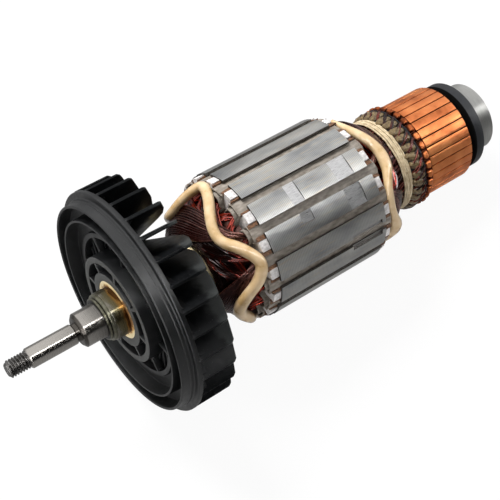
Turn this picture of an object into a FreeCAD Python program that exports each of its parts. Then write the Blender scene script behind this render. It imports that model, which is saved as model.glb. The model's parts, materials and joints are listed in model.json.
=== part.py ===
"""Motor armature of a hand power tool: shaft, cooling fan, wound core, commutator and end bearing.

Everything is modelled along the shaft axis first. X runs along the shaft from the threaded end
towards the bearing, x = 0 is the core's face on the fan side, and an angle is counted about the
shaft from straight up towards -Y. At the end the whole armature is laid down as it rests on a
bench: on two fan blades and on the rim of the core, with +Z up.
"""
import FreeCAD, Part
import math
import os

from FreeCAD import Vector

# Laminated core
core_r = 27.0
core_length = 45.0
slot_count = 16
slot_opening = 3.0
slot_floor_r = 14.6
crown_depth = 1.8
crown_lip = 1.1
tooth_width = 3.5
slot_phase = 178.5

# Shallow flats milled into the crowns to balance the rotor
flat_depth = 0.34
flat_front_start = 14.0
flat_front_length = 4.5
flat_rear_start = 32.6
flat_rear_length = 6.8
edge_cut_length = 13.0
edge_cut_width = 1.7
edge_cut_depth = 1.0
edge_cut_rear_gap = 1.5

# Insulating end plates, slot liners and slot wedges
front_plate = 3.0
rear_plate = 2.5
plate_drop = 0.6
plate_head = 3.8
liner_wall = 0.3
liner_overhang = 0.9
wedge_wall = 0.45
wedge_foot_drop = 0.55
wedge_crown_gap = 0.3
wedge_foot_inset = 0.2
wedge_crown_inset = 0.15
slot_play = 0.08

# Windings
coil_gap = 0.6
coil_root_drop = 3.2
front_coil_length = 13.7
front_nose_r = 13.0
rear_coil_length = 12.0
neck_r = 17.0
lead_length = 6.2
lead_bulge_r = 19.2
lead_gap = 0.2
lobe_r = 3.0
lobe_rise = 0.7

# Lacing cords and twine
cord_r = 1.9
cord_bed = 0.1
rear_cord_r = 1.75
twine_r = 0.42
twine_turns = 5
twine_play = 0.02
twine_margin = 0.9

# Shaft and its insulating tube
journal_r = 8.5
seat_r = 6.0
pinion_r = 3.5
undercut_r = 3.1
undercut_rise = 0.6
thread_r = 3.0
bush_seat_r = 6.0
tube_wall = 2.0
tube_inset = 2.0
collar_length = 4.6
seat_length = 10.3
seat_chamfer = 0.8
undercut_length = 1.6
pinion_length = 16.4
thread_length = 7.5
thread_chamfer = 0.8
collar_chamfer = 0.4
seal_wire_r = 1.1
seal_gap = 0.05
seal_groove_depth = 0.2

# Cooling fan
fan_gap = 9.8
blade_count = 29
blade_length = 13.0
blade_wall = 1.1
blade_lean = 25.0
blade_depth = 34.5
blade_root = 0.5
fan_r = 40.1
flange_width = 1.7
lip_height = 4.4
lip_inset = 2.8
lip_wall = 1.0
inner_ring_r = 32.2
inner_ring_wall = 0.9
rib_ring_r = 26.2
rib_ring_wall = 1.7
rib_ring_drop = 3.3
hub_ring_r = 19.15
hub_ring_wall = 2.25
boss_wall = 2.9
boss_rear_wall = 2.5
boss_overhang = 1.5
plate_wall = 1.4
trough_depth = 4.7
pocket_depth = 6.2
spoke_count = 8
spoke_wall = 1.2
spoke_root = 0.5
spoke_phase = -58.5
rim_chamfer = 0.35

# Commutator
bar_count = 32
bar_r = 18.1
bar_root_r = 13.0
bar_length = 21.9
bar_phase = -19.92
mica_wall = 0.7
mica_undercut = 0.8
hook_length = 3.4
hook_rise = 0.95
hook_width = 2.3
hook_setback = 0.3
hook_root = 0.4
bush_wall = 1.6
end_collar_length = 2.0
end_collar_r = 15.6

# Dust ring and ball bearing
ring_gap = 1.0
dust_ring_r = 16.75
dust_ring_width = 4.4
bearing_gap = 0.2
bearing_bore_r = 5.0
bearing_r = 13.0
bearing_width = 8.0
bearing_chamfer = 0.4
ball_r = 2.38
ball_count = 7
inner_land_r = 7.3
outer_land_r = 10.7
track_play = 0.06
cage_wall = 1.4
cage_half_width = 2.9
cage_play = 0.08
shield_wall = 0.3
shield_depth = 0.25
shield_r = 11.4
shield_clearance = 0.4
tail_length = 0.5
tail_chamfer = 0.4

ORIGIN = Vector(0, 0, 0)
AXIS = Vector(1, 0, 0)
SLOT_STEP = 360.0 / slot_count
BLADE_STEP = 360.0 / blade_count
BAR_STEP = 360.0 / bar_count

# Radii and widths worked out from the sizes above
slot_top_r = core_r - crown_depth
liner_top_r = slot_top_r - wedge_foot_drop - slot_play
tube_r = journal_r + tube_wall
lip_r = fan_r - lip_inset
boss_r = tube_r + boss_wall
seal_groove_r = seat_r - seal_groove_depth
ball_pitch_r = (bearing_bore_r + bearing_r) / 2
twine_pitch = 2 * twine_r + twine_play
neck_length = twine_turns * twine_pitch + twine_margin

# Places along the shaft, worked out from the lengths above
front_liner_end = -(front_plate + liner_overhang)
front_coil_start = front_liner_end - coil_gap
front_nose = front_coil_start - front_coil_length
blade_tip = front_nose - fan_gap
flange_rear = blade_tip - blade_length
flange_front = flange_rear - flange_width
fan_face = flange_front - lip_height
collar_front = fan_face - collar_length
seal_front = collar_front - 2 * (seal_wire_r + seal_gap)
seat_front = collar_front - seat_length
pinion_rear = seat_front - undercut_length
pinion_front = pinion_rear - pinion_length
shaft_front = pinion_front - thread_length

rear_liner_end = core_length + rear_plate + liner_overhang
rear_coil_start = rear_liner_end + coil_gap
neck_front = rear_coil_start + rear_coil_length
neck_rear = neck_front + neck_length
bar_front = neck_rear + lead_length
bar_rear = bar_front + bar_length
collar_rear = bar_rear + end_collar_length
ring_front = collar_rear + ring_gap
ring_rear = ring_front + dust_ring_width
bearing_front = ring_rear + bearing_gap
bearing_rear = bearing_front + bearing_width
bearing_middle = bearing_front + bearing_width / 2
shaft_rear = bearing_rear + tail_length
tube_rear = bar_front - tube_inset


def at(x, r, angle):
    """Point at x along the shaft, r from it, at an angle from straight up."""
    turn = math.radians(angle)
    return Vector(x, -r * math.sin(turn), r * math.cos(turn))


def turned(profile):
    """Solid turned about the shaft axis from its (x, r) corners."""
    points = [Vector(x, 0, r) for x, r in profile]
    face = Part.Face(Part.makePolygon(points + points[:1]))
    return face.revolve(ORIGIN, AXIS, 360)


def sleeve(x_low, x_high, r_in, r_out):
    """Plain tube between two places along the shaft."""
    return turned([(x_low, r_in), (x_low, r_out), (x_high, r_out), (x_high, r_in)])


def prism(corners, x_low, x_high):
    """Straight bar along the shaft from the (side, r) corners of its section at the top."""
    points = [Vector(x_low, side, r) for side, r in corners]
    face = Part.Face(Part.makePolygon(points + points[:1]))
    return face.extrude(Vector(x_high - x_low, 0, 0))


def block(x_low, x_high, half_width, r_low, r_high):
    """Straight block standing at the top of the shaft."""
    size = (x_high - x_low, 2 * half_width, r_high - r_low)
    return Part.makeBox(*size, Vector(x_low, -half_width, r_low))


def turned_copy(shape, angle):
    """Copy of a shape turned about the shaft axis."""
    copy = shape.copy()
    copy.rotate(ORIGIN, AXIS, angle)
    return copy


def around(shape, count, first):
    """Evenly spaced copies about the shaft."""
    return [turned_copy(shape, first + 360.0 * i / count) for i in range(count)]


def slot_half_width(r):
    """Half the width of a slot whose teeth have parallel sides."""
    half_step = math.radians(SLOT_STEP / 2)
    return r * math.tan(half_step) - tooth_width / 2 / math.cos(half_step)


def slot_section(opening):
    """Corners of one slot, open through the crown by the given width."""
    top = slot_half_width(slot_top_r)
    floor = slot_half_width(slot_floor_r)
    mouth_r = core_r - crown_lip
    outside_r = core_r + slot_opening
    half = opening / 2
    side = [(floor, slot_floor_r), (top, slot_top_r), (half, mouth_r), (half, outside_r)]
    return side + [(-y, r) for y, r in reversed(side)]


def liner_solid():
    """One folded slot liner, open under its wedge."""
    outer_top = slot_half_width(liner_top_r)
    outer_floor = slot_half_width(slot_floor_r)
    inner_floor_r = slot_floor_r + liner_wall
    inner_floor = slot_half_width(inner_floor_r) - liner_wall
    outer = [(outer_floor, slot_floor_r), (outer_top, liner_top_r)]
    inner = [(outer_top - liner_wall, liner_top_r), (inner_floor, inner_floor_r)]
    side = outer + inner
    return prism(side + [(-y, r) for y, r in reversed(side)], front_liner_end, rear_liner_end)


def wedge_solid():
    """One arched slot wedge that closes a slot under its opening."""
    foot_r = slot_top_r - wedge_foot_drop
    top_r = core_r - crown_lip - wedge_crown_gap
    shoulder_r = foot_r + wedge_wall
    under_r = top_r - wedge_wall
    foot = slot_half_width(foot_r) - wedge_foot_inset
    crown = slot_opening / 2 - wedge_crown_inset
    side = [(crown, under_r), (foot, foot_r), (foot, shoulder_r), (crown, top_r)]
    return prism(side + [(-y, r) for y, r in reversed(side)], front_liner_end, rear_liner_end)


def slot_winding_solid():
    """The wires of one slot, as the bundle that fills its liner."""
    low_r = slot_floor_r + liner_wall + slot_play
    high_r = liner_top_r - slot_play
    low = slot_half_width(low_r) - liner_wall - slot_play
    high = slot_half_width(high_r) - liner_wall - slot_play
    section = [(low, low_r), (high, high_r), (-high, high_r), (-low, low_r)]
    return prism(section, front_coil_start, rear_coil_start)


def balance_cuts():
    """Shapes milled away from some crowns: whole flats, half flats and deeper edge cuts."""
    crown = slot_phase + SLOT_STEP / 2
    wide = 2 * core_r
    low = core_r - flat_depth
    front = (flat_front_start, flat_front_start + flat_front_length)
    rear = (flat_rear_start, flat_rear_start + flat_rear_length)
    half_crown = core_r * math.sin(math.radians(SLOT_STEP / 2))
    whole = [block(x_low, x_high, half_crown, low, wide) for x_low, x_high in (front, rear)]
    half_front = Part.makeBox(front[1] - front[0], half_crown, wide, Vector(front[0], 0, low))
    edge_low = core_r - edge_cut_depth
    edge = Part.makeBox(
        edge_cut_length, edge_cut_width, wide,
        Vector(core_length - edge_cut_length - edge_cut_rear_gap, slot_opening / 2 - half_crown, edge_low),
    )
    other_edge = edge.mirror(ORIGIN, Vector(0, 1, 0))
    cuts = [turned_copy(shape, crown - 8 * SLOT_STEP) for shape in whole]
    cuts += [turned_copy(shape, crown - 7 * SLOT_STEP) for shape in (half_front, whole[1])]
    cuts += [turned_copy(other_edge, crown - 5 * SLOT_STEP), turned_copy(edge, crown - 6 * SLOT_STEP)]
    return cuts


def core_solid():
    """Laminated core with its slots and balance cuts."""
    slot = prism(slot_section(slot_opening), -1, core_length + 1)
    body = sleeve(0, core_length, tube_r, core_r)
    return body.cut(around(slot, slot_count, slot_phase) + balance_cuts())


def end_plate_solid(x_low, x_high):
    """Insulating star plate whose heads are narrower than the crowns."""
    opening = 2 * core_r * math.sin(math.radians(SLOT_STEP / 2)) - plate_head
    slot = prism(slot_section(slot_opening), x_low - 1, x_high + 1)
    shoulder = block(x_low - 1, x_high + 1, opening / 2, slot_top_r - plate_drop, core_r + 1)
    body = sleeve(x_low, x_high, tube_r, core_r - plate_drop)
    return body.cut(around(slot.fuse(shoulder), slot_count, slot_phase))


def corner_arc(before, corner, after):
    """Ends, middle and radius of the arc that rounds one corner of a cord's route."""
    back = (before - corner).normalize()
    ahead = (after - corner).normalize()
    reach = 0.45 * min((before - corner).Length, (after - corner).Length)
    half_turn = (math.pi - back.getAngle(ahead)) / 2
    radius = reach / math.tan(half_turn)
    inward = (back + ahead).normalize()
    middle = corner + inward * (radius / math.cos(half_turn) - radius)
    return corner + back * reach, middle, corner + ahead * reach, radius


def cord_path(points):
    """Straight runs joined by tangent arcs, and the smallest arc's radius."""
    edges = []
    radii = []
    start = points[0]
    for before, corner, after in zip(points, points[1:], points[2:]):
        first, middle, last, radius = corner_arc(before, corner, after)
        edges.append(Part.LineSegment(start, first).toShape())
        edges.append(Part.Arc(first, middle, last).toShape())
        radii.append(radius)
        start = last
    edges.append(Part.LineSegment(start, points[-1]).toShape())
    return Part.Wire(edges), min(radii)


def cord_tube(points, radius):
    """Round cord along its route."""
    path, tightest = cord_path(points)
    ring = Part.makeCircle(radius, points[0], points[1] - points[0])
    tube = path.makePipeShell([Part.Wire([ring])], True, True)
    print("cord length %.1f, tightest arc %.1f, radius %.2f" % (path.Length, tightest, radius))
    return tube


# Route of the wavy cord over the fan-side windings: x from the core's face, r and angle
front_cord_route = [
    (-12.1, 20.9, -178), (-9.0, 23.0, -160), (-5.4, 25.0, -143), (-4.6, 25.4, -130), (-7.4, 24.1, -115),
    (-11.2, 21.8, -100), (-14.6, 19.6, -84), (-15.8, 18.9, -71), (-13.2, 20.9, -59), (-9.2, 23.1, -50.5),
    (-3.9, 25.6, -40), (-7.1, 24.3, -23), (-10.0, 22.6, -12.5), (-12.4, 20.9, 1.6), (-12.2, 21.1, 14),
    (-9.0, 23.2, 24), (-5.9, 24.9, 34.9), (-4.3, 25.5, 44), (-5.8, 24.9, 54.2), (-9.5, 22.8, 69.2),
    (-11.9, 21.3, 84.7), (-10.6, 22.3, 97), (-6.6, 24.6, 111), (-4.5, 25.4, 126), (-6.2, 24.7, 140),
    (-9.8, 22.6, 155), (-12.2, 20.9, 169), (-12.4, 20.8, 179),
]

# Route of the cord over the windings behind the core: x from the core's rear face, r and angle
rear_cord_route = [
    (3.9, 25.2, -35), (4.4, 25.4, -17), (6.6, 24.7, -5.5), (8.5, 24.0, 4.4), (9.1, 23.7, 15.3),
    (8.4, 24.1, 25.2), (6.5, 24.8, 33.0), (5.2, 25.3, 40), (5.0, 25.3, 48.5), (5.2, 25.3, 57),
    (6.6, 24.7, 69), (8.2, 23.6, 84), (7.6, 23.4, 100), (6.6, 23.3, 116), (7.4, 23.0, 133),
    (8.6, 22.6, 150), (7.6, 22.9, 167), (6.8, 23.1, 184), (8.0, 22.8, 201), (8.6, 22.6, 218),
    (7.2, 23.3, 236), (6.4, 23.9, 253), (7.4, 23.8, 270), (8.0, 23.8, 286), (6.9, 24.2, 301),
]


def front_cord(radius):
    """Cord over the fan-side windings."""
    return cord_tube([at(x, r, angle) for x, r, angle in front_cord_route], radius)


def rear_cord(radius):
    """Cord over the windings behind the core."""
    return cord_tube([at(core_length + x, r, angle) for x, r, angle in rear_cord_route], radius)


def bedded(solids, *beds):
    """Solids pressed in where a cord lies on them, without loose chips."""
    pressed = [solid.cut(list(beds)) for solid in solids]
    return [max(shape.Solids, key=lambda chip: chip.Volume) for shape in pressed]


def front_winding_solid():
    """Coil heads on the fan side: a bulging dome with a lobe of wire out of every slot."""
    root_r = core_r - coil_root_drop
    fall = root_r - front_nose_r
    outline = [
        (front_coil_start - share * front_coil_length, root_r - drop * fall)
        for share, drop in ((0, 0), (0.26, 0.14), (0.47, 0.33), (0.69, 0.52), (0.93, 0.72), (1, 1))
    ]
    dome = turned([(front_coil_start, tube_r)] + outline + [(front_nose, tube_r)])
    lobe = Part.makeSphere(lobe_r, at(front_coil_start - lobe_r, root_r - lobe_r + lobe_rise, 0))
    coil = dome.fuse(around(lobe, slot_count, slot_phase))
    return coil.cut(front_cord(cord_r + cord_bed))


def rear_winding_solid():
    """Coil heads behind the core, narrowing to the neck where the twine lies."""
    root_r = core_r - coil_root_drop
    fall = root_r - neck_r
    outline = [
        (rear_coil_start + share * rear_coil_length, root_r - drop * fall)
        for share, drop in ((0, 0), (0.29, 0.13), (0.58, 0.41), (0.83, 0.74), (1, 1))
    ]
    dome = turned([(rear_coil_start, tube_r)] + outline + [(neck_rear, neck_r), (neck_rear, tube_r)])
    return dome.cut(rear_cord(rear_cord_r + cord_bed))


def lead_solid():
    """Cone of lead wires from the neck to the commutator's hooks."""
    rise = lead_bulge_r - neck_r
    third = lead_length / 3
    rear = bar_front - lead_gap
    return turned([
        (neck_rear, tube_r), (neck_rear, neck_r + 0.2 * rise), (neck_rear + third, neck_r + 0.75 * rise),
        (neck_rear + 2 * third, lead_bulge_r), (rear, lead_bulge_r - 0.1 * rise), (rear, bar_root_r),
        (tube_rear, bar_root_r), (tube_rear, tube_r),
    ])


def twine_solids():
    """Strands of twine side by side around the neck."""
    first = (neck_front + neck_rear - (twine_turns - 1) * twine_pitch) / 2
    places = [Vector(first + i * twine_pitch, 0, 0) for i in range(twine_turns)]
    return [Part.makeTorus(neck_r + twine_r, twine_r, place, AXIS) for place in places]


def shaft_solid():
    """Turned steel shaft, from the threaded end to the bearing end."""
    return turned([
        (shaft_front, 0), (shaft_front, thread_r - thread_chamfer), (shaft_front + thread_chamfer, thread_r),
        (pinion_front, thread_r), (pinion_front, pinion_r), (pinion_rear, pinion_r),
        (pinion_rear + pinion_r - undercut_r, undercut_r), (seat_front, undercut_r + undercut_rise),
        (seat_front, seat_r - seat_chamfer), (seat_front + seat_chamfer, seat_r), (seal_front, seat_r),
        (seal_front, seal_groove_r), (collar_front, seal_groove_r),
        (collar_front, journal_r - collar_chamfer), (collar_front + collar_chamfer, journal_r),
        (tube_rear, journal_r), (tube_rear, bush_seat_r), (bearing_front, bush_seat_r),
        (bearing_front, bearing_bore_r), (shaft_rear - tail_chamfer, bearing_bore_r),
        (shaft_rear, bearing_bore_r - tail_chamfer), (shaft_rear, 0),
    ])


def fan_blade_solid():
    """One leaning blade with its scalloped rear edge, standing at the top of the shaft."""
    lean = math.radians(blade_lean)
    root = flange_rear - blade_root
    scallop = [(0, 0), (0.21, 0.19), (0.38, 0.28), (0.48, 0.23), (0.58, 0.14), (0.72, -0.01)]
    scallop += [(0.87, -0.15), (0.96, -0.38)]
    rear_edge = [(share * blade_depth, blade_tip + rise * blade_length) for share, rise in scallop]
    edge = [(-blade_wall, root), (-blade_wall, blade_tip)] + rear_edge + [(blade_depth, root)]
    normal = Vector(0, math.cos(lean), math.sin(lean))
    shift = normal * (-blade_wall / 2)
    points = [Vector(x, s * math.sin(lean), fan_r - s * math.cos(lean)) + shift for s, x in edge]
    face = Part.Face(Part.makePolygon(points + points[:1]))
    blade = face.extrude(normal * blade_wall)
    step_r = rib_ring_r - rib_ring_wall / 2
    inner_front = fan_face + pocket_depth + plate_wall / 2
    rear = blade_tip + blade_length
    envelope = turned([
        (root, fan_r), (root, step_r), (inner_front, step_r),
        (inner_front, boss_r), (rear, boss_r), (rear, fan_r),
    ])
    return blade.common(envelope)


def fan_solid():
    """Moulded fan wheel: lip, flange, face rings, hub, spokes and blades in one piece."""
    trough = fan_face + trough_depth
    pocket = fan_face + pocket_depth
    rib_top = fan_face + rib_ring_drop
    lip_in = lip_r - lip_wall
    inner_in = inner_ring_r - inner_ring_wall
    rib_in = rib_ring_r - rib_ring_wall
    hub_in = hub_ring_r - hub_ring_wall
    boss_rear = blade_tip + boss_overhang
    boss_rear_r = tube_r + boss_rear_wall
    wheel = turned([
        (fan_face, tube_r), (fan_face, boss_r), (pocket, boss_r), (pocket, hub_in), (fan_face, hub_in),
        (fan_face, hub_ring_r), (pocket, hub_ring_r), (pocket, rib_in), (rib_top, rib_in),
        (rib_top, rib_ring_r), (trough, rib_ring_r), (trough, inner_in), (fan_face, inner_in),
        (fan_face, inner_ring_r), (trough, inner_ring_r), (trough, lip_in),
        (fan_face + rim_chamfer, lip_in), (fan_face, lip_in + rim_chamfer),
        (fan_face, lip_r - rim_chamfer), (fan_face + rim_chamfer, lip_r), (flange_front, lip_r),
        (flange_front, fan_r - rim_chamfer), (flange_front + rim_chamfer, fan_r), (flange_rear, fan_r),
        (flange_rear, rib_ring_r), (pocket + plate_wall, rib_in), (pocket + plate_wall, boss_rear_r),
        (boss_rear, boss_rear_r), (boss_rear, tube_r),
    ])
    floor = pocket + spoke_root
    hub_spoke = block(fan_face, floor, spoke_wall / 2, boss_r - spoke_root, hub_in + spoke_root)
    rib = block(rib_top, floor, spoke_wall / 2, hub_ring_r - spoke_root, rib_in + spoke_root)
    added = around(hub_spoke, spoke_count, spoke_phase) + around(rib, spoke_count, spoke_phase)
    added += around(fan_blade_solid(), blade_count, 180 + BLADE_STEP / 2)
    return wheel.fuse(added)


def bar_section(r_low, r_high, x_low, x_high):
    """Copper sector between two mica walls."""
    half = math.radians(BAR_STEP / 2)
    low = half - math.asin(mica_wall / 2 / r_low)
    high = half - math.asin(mica_wall / 2 / r_high)
    corner = [Vector(x_low, r * math.sin(a), r * math.cos(a)) for r, a in ((r_low, -low), (r_high, -high))]
    corner += [Vector(x_low, r * math.sin(a), r * math.cos(a)) for r, a in ((r_high, high), (r_low, low))]
    edges = [
        Part.LineSegment(corner[0], corner[1]).toShape(),
        Part.Arc(corner[1], Vector(x_low, 0, r_high), corner[2]).toShape(),
        Part.LineSegment(corner[2], corner[3]).toShape(),
        Part.Arc(corner[3], Vector(x_low, 0, r_low), corner[0]).toShape(),
    ]
    return Part.Face(Part.Wire(edges)).extrude(Vector(x_high - x_low, 0, 0))


def commutator_bars():
    """Copper bars with the hook that holds each lead."""
    bar = bar_section(bar_root_r, bar_r, bar_front, bar_rear)
    start = bar_front + hook_setback
    root_r = bar_r - hook_root
    profile = [
        (start, root_r), (start, bar_r + 0.6 * hook_rise), (start + 0.3 * hook_length, bar_r + hook_rise),
        (start + 0.7 * hook_length, bar_r + hook_rise), (start + hook_length, bar_r + 0.3 * hook_rise),
        (start + hook_length, root_r),
    ]
    points = [Vector(x, -hook_width / 2, r) for x, r in profile]
    hook = Part.Face(Part.makePolygon(points + points[:1])).extrude(Vector(0, hook_width, 0))
    return around(bar.fuse(hook), bar_count, bar_phase)


def mica_segments():
    """Insulating walls between the bars, cut back below the copper."""
    wall = block(bar_front, bar_rear, mica_wall / 2, bar_root_r, bar_r - mica_undercut)
    return around(wall, bar_count, bar_phase + BAR_STEP / 2)


def commutator_core_solid():
    """Moulded hub that holds the bars, with the collar at its far end."""
    bush_r = bush_seat_r + bush_wall
    return turned([
        (tube_rear, bush_r), (tube_rear, bar_root_r), (bar_rear, bar_root_r), (bar_rear, end_collar_r),
        (collar_rear, end_collar_r), (collar_rear, bush_r),
    ])


def ball_track(play):
    """Ring in which the balls run, grown by the running play."""
    return Part.makeTorus(ball_pitch_r, ball_r + play, Vector(bearing_middle, 0, 0), AXIS)


def bearing_parts():
    """Rings, balls, cage and shields of the end bearing."""
    c = bearing_chamfer
    low, high = bearing_front, bearing_rear
    step = shield_depth + shield_wall
    inner = turned([
        (low, bearing_bore_r + c), (low, inner_land_r), (high, inner_land_r), (high, bearing_bore_r + c),
        (high - c, bearing_bore_r), (low + c, bearing_bore_r),
    ]).cut(ball_track(track_play))
    outer = turned([
        (low, shield_r), (low, bearing_r - c), (low + c, bearing_r), (high - c, bearing_r),
        (high, bearing_r - c), (high, shield_r), (high - step, shield_r), (high - step, outer_land_r),
        (low + step, outer_land_r), (low + step, shield_r),
    ]).cut(ball_track(track_play))
    ball = Part.makeSphere(ball_r, at(bearing_middle, ball_pitch_r, 0))
    pocket = Part.makeSphere(ball_r + cage_play, at(bearing_middle, ball_pitch_r, 0))
    cage = sleeve(
        bearing_middle - cage_half_width, bearing_middle + cage_half_width,
        ball_pitch_r - cage_wall / 2, ball_pitch_r + cage_wall / 2,
    ).cut(around(pocket, ball_count, 0))
    shield_in = inner_land_r + shield_clearance
    front = sleeve(low + shield_depth, low + step, shield_in, shield_r)
    rear = sleeve(high - step, high - shield_depth, shield_in, shield_r)
    return {
        "bearing_inner_ring": [inner],
        "bearing_outer_ring": [outer],
        "bearing_balls": around(ball, ball_count, 0),
        "bearing_cage": [cage],
        "bearing_front_shield": [front],
        "bearing_rear_shield": [rear],
    }


def build_pieces():
    """Every piece of the armature, along the shaft axis, by name."""
    seal_r = seal_groove_r + seal_gap + seal_wire_r
    front_bed = front_cord(cord_r + cord_bed)
    rear_bed = rear_cord(rear_cord_r + cord_bed)
    pieces = {
        "shaft": [shaft_solid()],
        "shaft_insulation": [sleeve(fan_face, tube_rear, journal_r, tube_r)],
        "sealing_ring": [
            Part.makeTorus(seal_r, seal_wire_r, Vector(collar_front - seal_wire_r - seal_gap, 0, 0), AXIS)
        ],
        "fan_wheel": [fan_solid()],
        "lamination_stack": [core_solid()],
        "front_end_plate": bedded([end_plate_solid(-front_plate, 0)], front_bed),
        "rear_end_plate": bedded([end_plate_solid(core_length, core_length + rear_plate)], rear_bed),
        "slot_liners": bedded(around(liner_solid(), slot_count, slot_phase), front_bed, rear_bed),
        "slot_wedges": bedded(around(wedge_solid(), slot_count, slot_phase), front_bed, rear_bed),
        "slot_windings": bedded(around(slot_winding_solid(), slot_count, slot_phase), front_bed, rear_bed),
        "front_winding": [front_winding_solid()],
        "rear_winding": [rear_winding_solid()],
        "front_lacing_cord": [front_cord(cord_r)],
        "rear_lacing_cord": [rear_cord(rear_cord_r)],
        "twine_binding": twine_solids(),
        "lead_wires": [lead_solid()],
        "commutator_bars": commutator_bars(),
        "commutator_mica": mica_segments(),
        "commutator_core": [commutator_core_solid()],
        "commutator_bush": [sleeve(tube_rear, ring_front, bush_seat_r, bush_seat_r + bush_wall)],
        "dust_ring": [sleeve(ring_front, ring_rear, bush_seat_r, dust_ring_r)],
    }
    pieces.update(bearing_parts())
    return pieces


def resting_tilt():
    """Angle at which the armature lies, on two blade corners and one corner of the core's rim."""
    corner = math.degrees(math.asin(blade_wall / 2 / math.cos(math.radians(blade_lean)) / fan_r))
    blade_low = fan_r * math.cos(math.radians(BLADE_STEP / 2 - corner))
    opening_edge = math.degrees(math.asin(slot_opening / 2 / core_r))
    core_low = core_r * math.cos(math.radians(opening_edge - abs(180 - slot_phase)))
    tilt = math.degrees(math.atan2(blade_low - core_low, core_length - blade_tip))
    return tilt, blade_low


def lay_down(pieces):
    """Tilt the armature to its rest on the bench and centre it over the origin."""
    tilt, blade_low = resting_tilt()
    turn = math.radians(tilt)
    floor = blade_tip * math.sin(turn) + blade_low * math.cos(turn)
    for solids in pieces.values():
        for solid in solids:
            solid.rotate(ORIGIN, Vector(0, 1, 0), tilt)
            solid.translate(Vector(0, 0, floor))
    everything = Part.makeCompound([solid for solids in pieces.values() for solid in solids])
    box = everything.optimalBoundingBox(False, False)
    shift = Vector(-(box.XMin + box.XMax) / 2, -(box.YMin + box.YMax) / 2, 0)
    for solids in pieces.values():
        for solid in solids:
            solid.translate(shift)
    print("tilt %.4f, core face at the shaft axis: %.4f %.4f %.4f" % (tilt, shift.x, shift.y, floor))
    print("lowest %.4f, size %.2f %.2f %.2f" % (box.ZMin, box.XLength, box.YLength, box.ZLength))


def main():
    """Build, place and write every piece."""
    os.makedirs("parts", exist_ok=True)
    pieces = build_pieces()
    lay_down(pieces)
    for name, solids in pieces.items():
        shape = solids[0] if len(solids) == 1 else Part.makeCompound(solids)
        shape.exportStep("parts/%s.step" % name)
        report = (name, len(shape.Solids), shape.Volume, shape.isValid())
        print("%-22s solids %3d volume %9.1f valid %s" % report)


main()
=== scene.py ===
# %% [markdown]
# # A motor armature, piece by piece
# This notebook dresses a imported model of a wound rotor from a mains hand tool. The frame holds every
# piece at its real size, so our job is the finish: ground steel, black moulded plastic, varnished
# wire, waxed cord and worn copper. The frame is loaded first.

import json
import math
import random

import bpy
from mathutils import Matrix, Quaternion, Vector

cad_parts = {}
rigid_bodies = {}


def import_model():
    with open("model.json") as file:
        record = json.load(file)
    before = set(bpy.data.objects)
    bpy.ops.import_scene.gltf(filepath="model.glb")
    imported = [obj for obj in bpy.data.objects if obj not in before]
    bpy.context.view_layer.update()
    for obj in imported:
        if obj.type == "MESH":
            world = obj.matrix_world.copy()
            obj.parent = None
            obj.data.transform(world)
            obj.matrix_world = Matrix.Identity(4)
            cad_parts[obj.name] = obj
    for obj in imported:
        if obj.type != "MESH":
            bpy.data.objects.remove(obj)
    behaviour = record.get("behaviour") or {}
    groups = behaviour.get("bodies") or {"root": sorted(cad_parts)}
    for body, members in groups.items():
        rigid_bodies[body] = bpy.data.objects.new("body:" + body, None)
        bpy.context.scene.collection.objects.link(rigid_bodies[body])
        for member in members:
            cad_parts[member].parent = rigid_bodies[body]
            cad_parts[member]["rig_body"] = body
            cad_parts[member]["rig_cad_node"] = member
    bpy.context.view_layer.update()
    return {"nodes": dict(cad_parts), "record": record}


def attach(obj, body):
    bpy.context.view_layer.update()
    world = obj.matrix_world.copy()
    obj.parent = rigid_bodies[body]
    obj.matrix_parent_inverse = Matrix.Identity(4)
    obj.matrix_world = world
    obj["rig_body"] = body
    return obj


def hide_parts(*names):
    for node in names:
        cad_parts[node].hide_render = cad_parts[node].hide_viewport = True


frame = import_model()
chance = random.Random(7)
print("pieces in the frame:", len(frame["nodes"]))

# %% [markdown]
# ## Working along the shaft
# The real armature lies tilted, on its fan and on the rim of its core. Modelling in that lie would be
# awkward, so each piece is made along the X axis in millimetres, with x = 0 at the core's face on the
# fan side, and is laid down when it is finished. The record says where the end bearing sits and which
# way the shaft points, and that is all we need to work out the move.

# %% Where the shaft lies
MM = 0.001
bearing_middle = 105.9
bearing_mount = next(m for m in frame["record"]["mounts"] if m["name"] == "end_bearing_outside")
shaft_way = Vector(bearing_mount["axis"]).normalized()
core_face = Vector(bearing_mount["pos_m"]) - shaft_way * bearing_middle * MM
lie_angle = math.atan2(-shaft_way.z, shaft_way.x)
LAY = Matrix.Translation(core_face) @ Matrix.Rotation(lie_angle, 4, "Y") @ Matrix.Scale(MM, 4)
print("the shaft lies", round(math.degrees(lie_angle), 2), "degrees down")

# %% [markdown]
# ## Sizes that the pieces share
# Most pieces touch a neighbour, so the places where they meet are written once, and every piece takes
# them from the same names. They are the frame's own measures: places along the shaft, from the
# thread's tip to the rear end, and radii. An angle is counted about the shaft from straight up towards
# -Y, which is the side that faces the camera.

# %% Sizes
shaft_front, pinion_front, pinion_rear = -87.5, -80.0, -63.6
seat_front, seal_front, collar_front = -62.0, -54.0, -51.7
fan_face, flange_front, flange_rear, blade_tip = -47.1, -42.7, -41.0, -28.0
core_length, neck_front, neck_rear, tube_rear = 45.0, 61.0, 66.2, 70.4
bar_front, bar_face, bar_rear = 72.4, 75.0, 94.3
ring_front, ring_rear = 97.3, 101.7
bearing_front, bearing_rear, shaft_rear = 101.9, 109.9, 110.4
core_r, fan_r, bar_r, journal_r, tube_r, seat_r, bore_r = 27.0, 40.1, 18.1, 8.5, 10.5, 6.0, 5.0
slot_count, slot_phase = 16, 178.5
slot_step = 360.0 / slot_count


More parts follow.
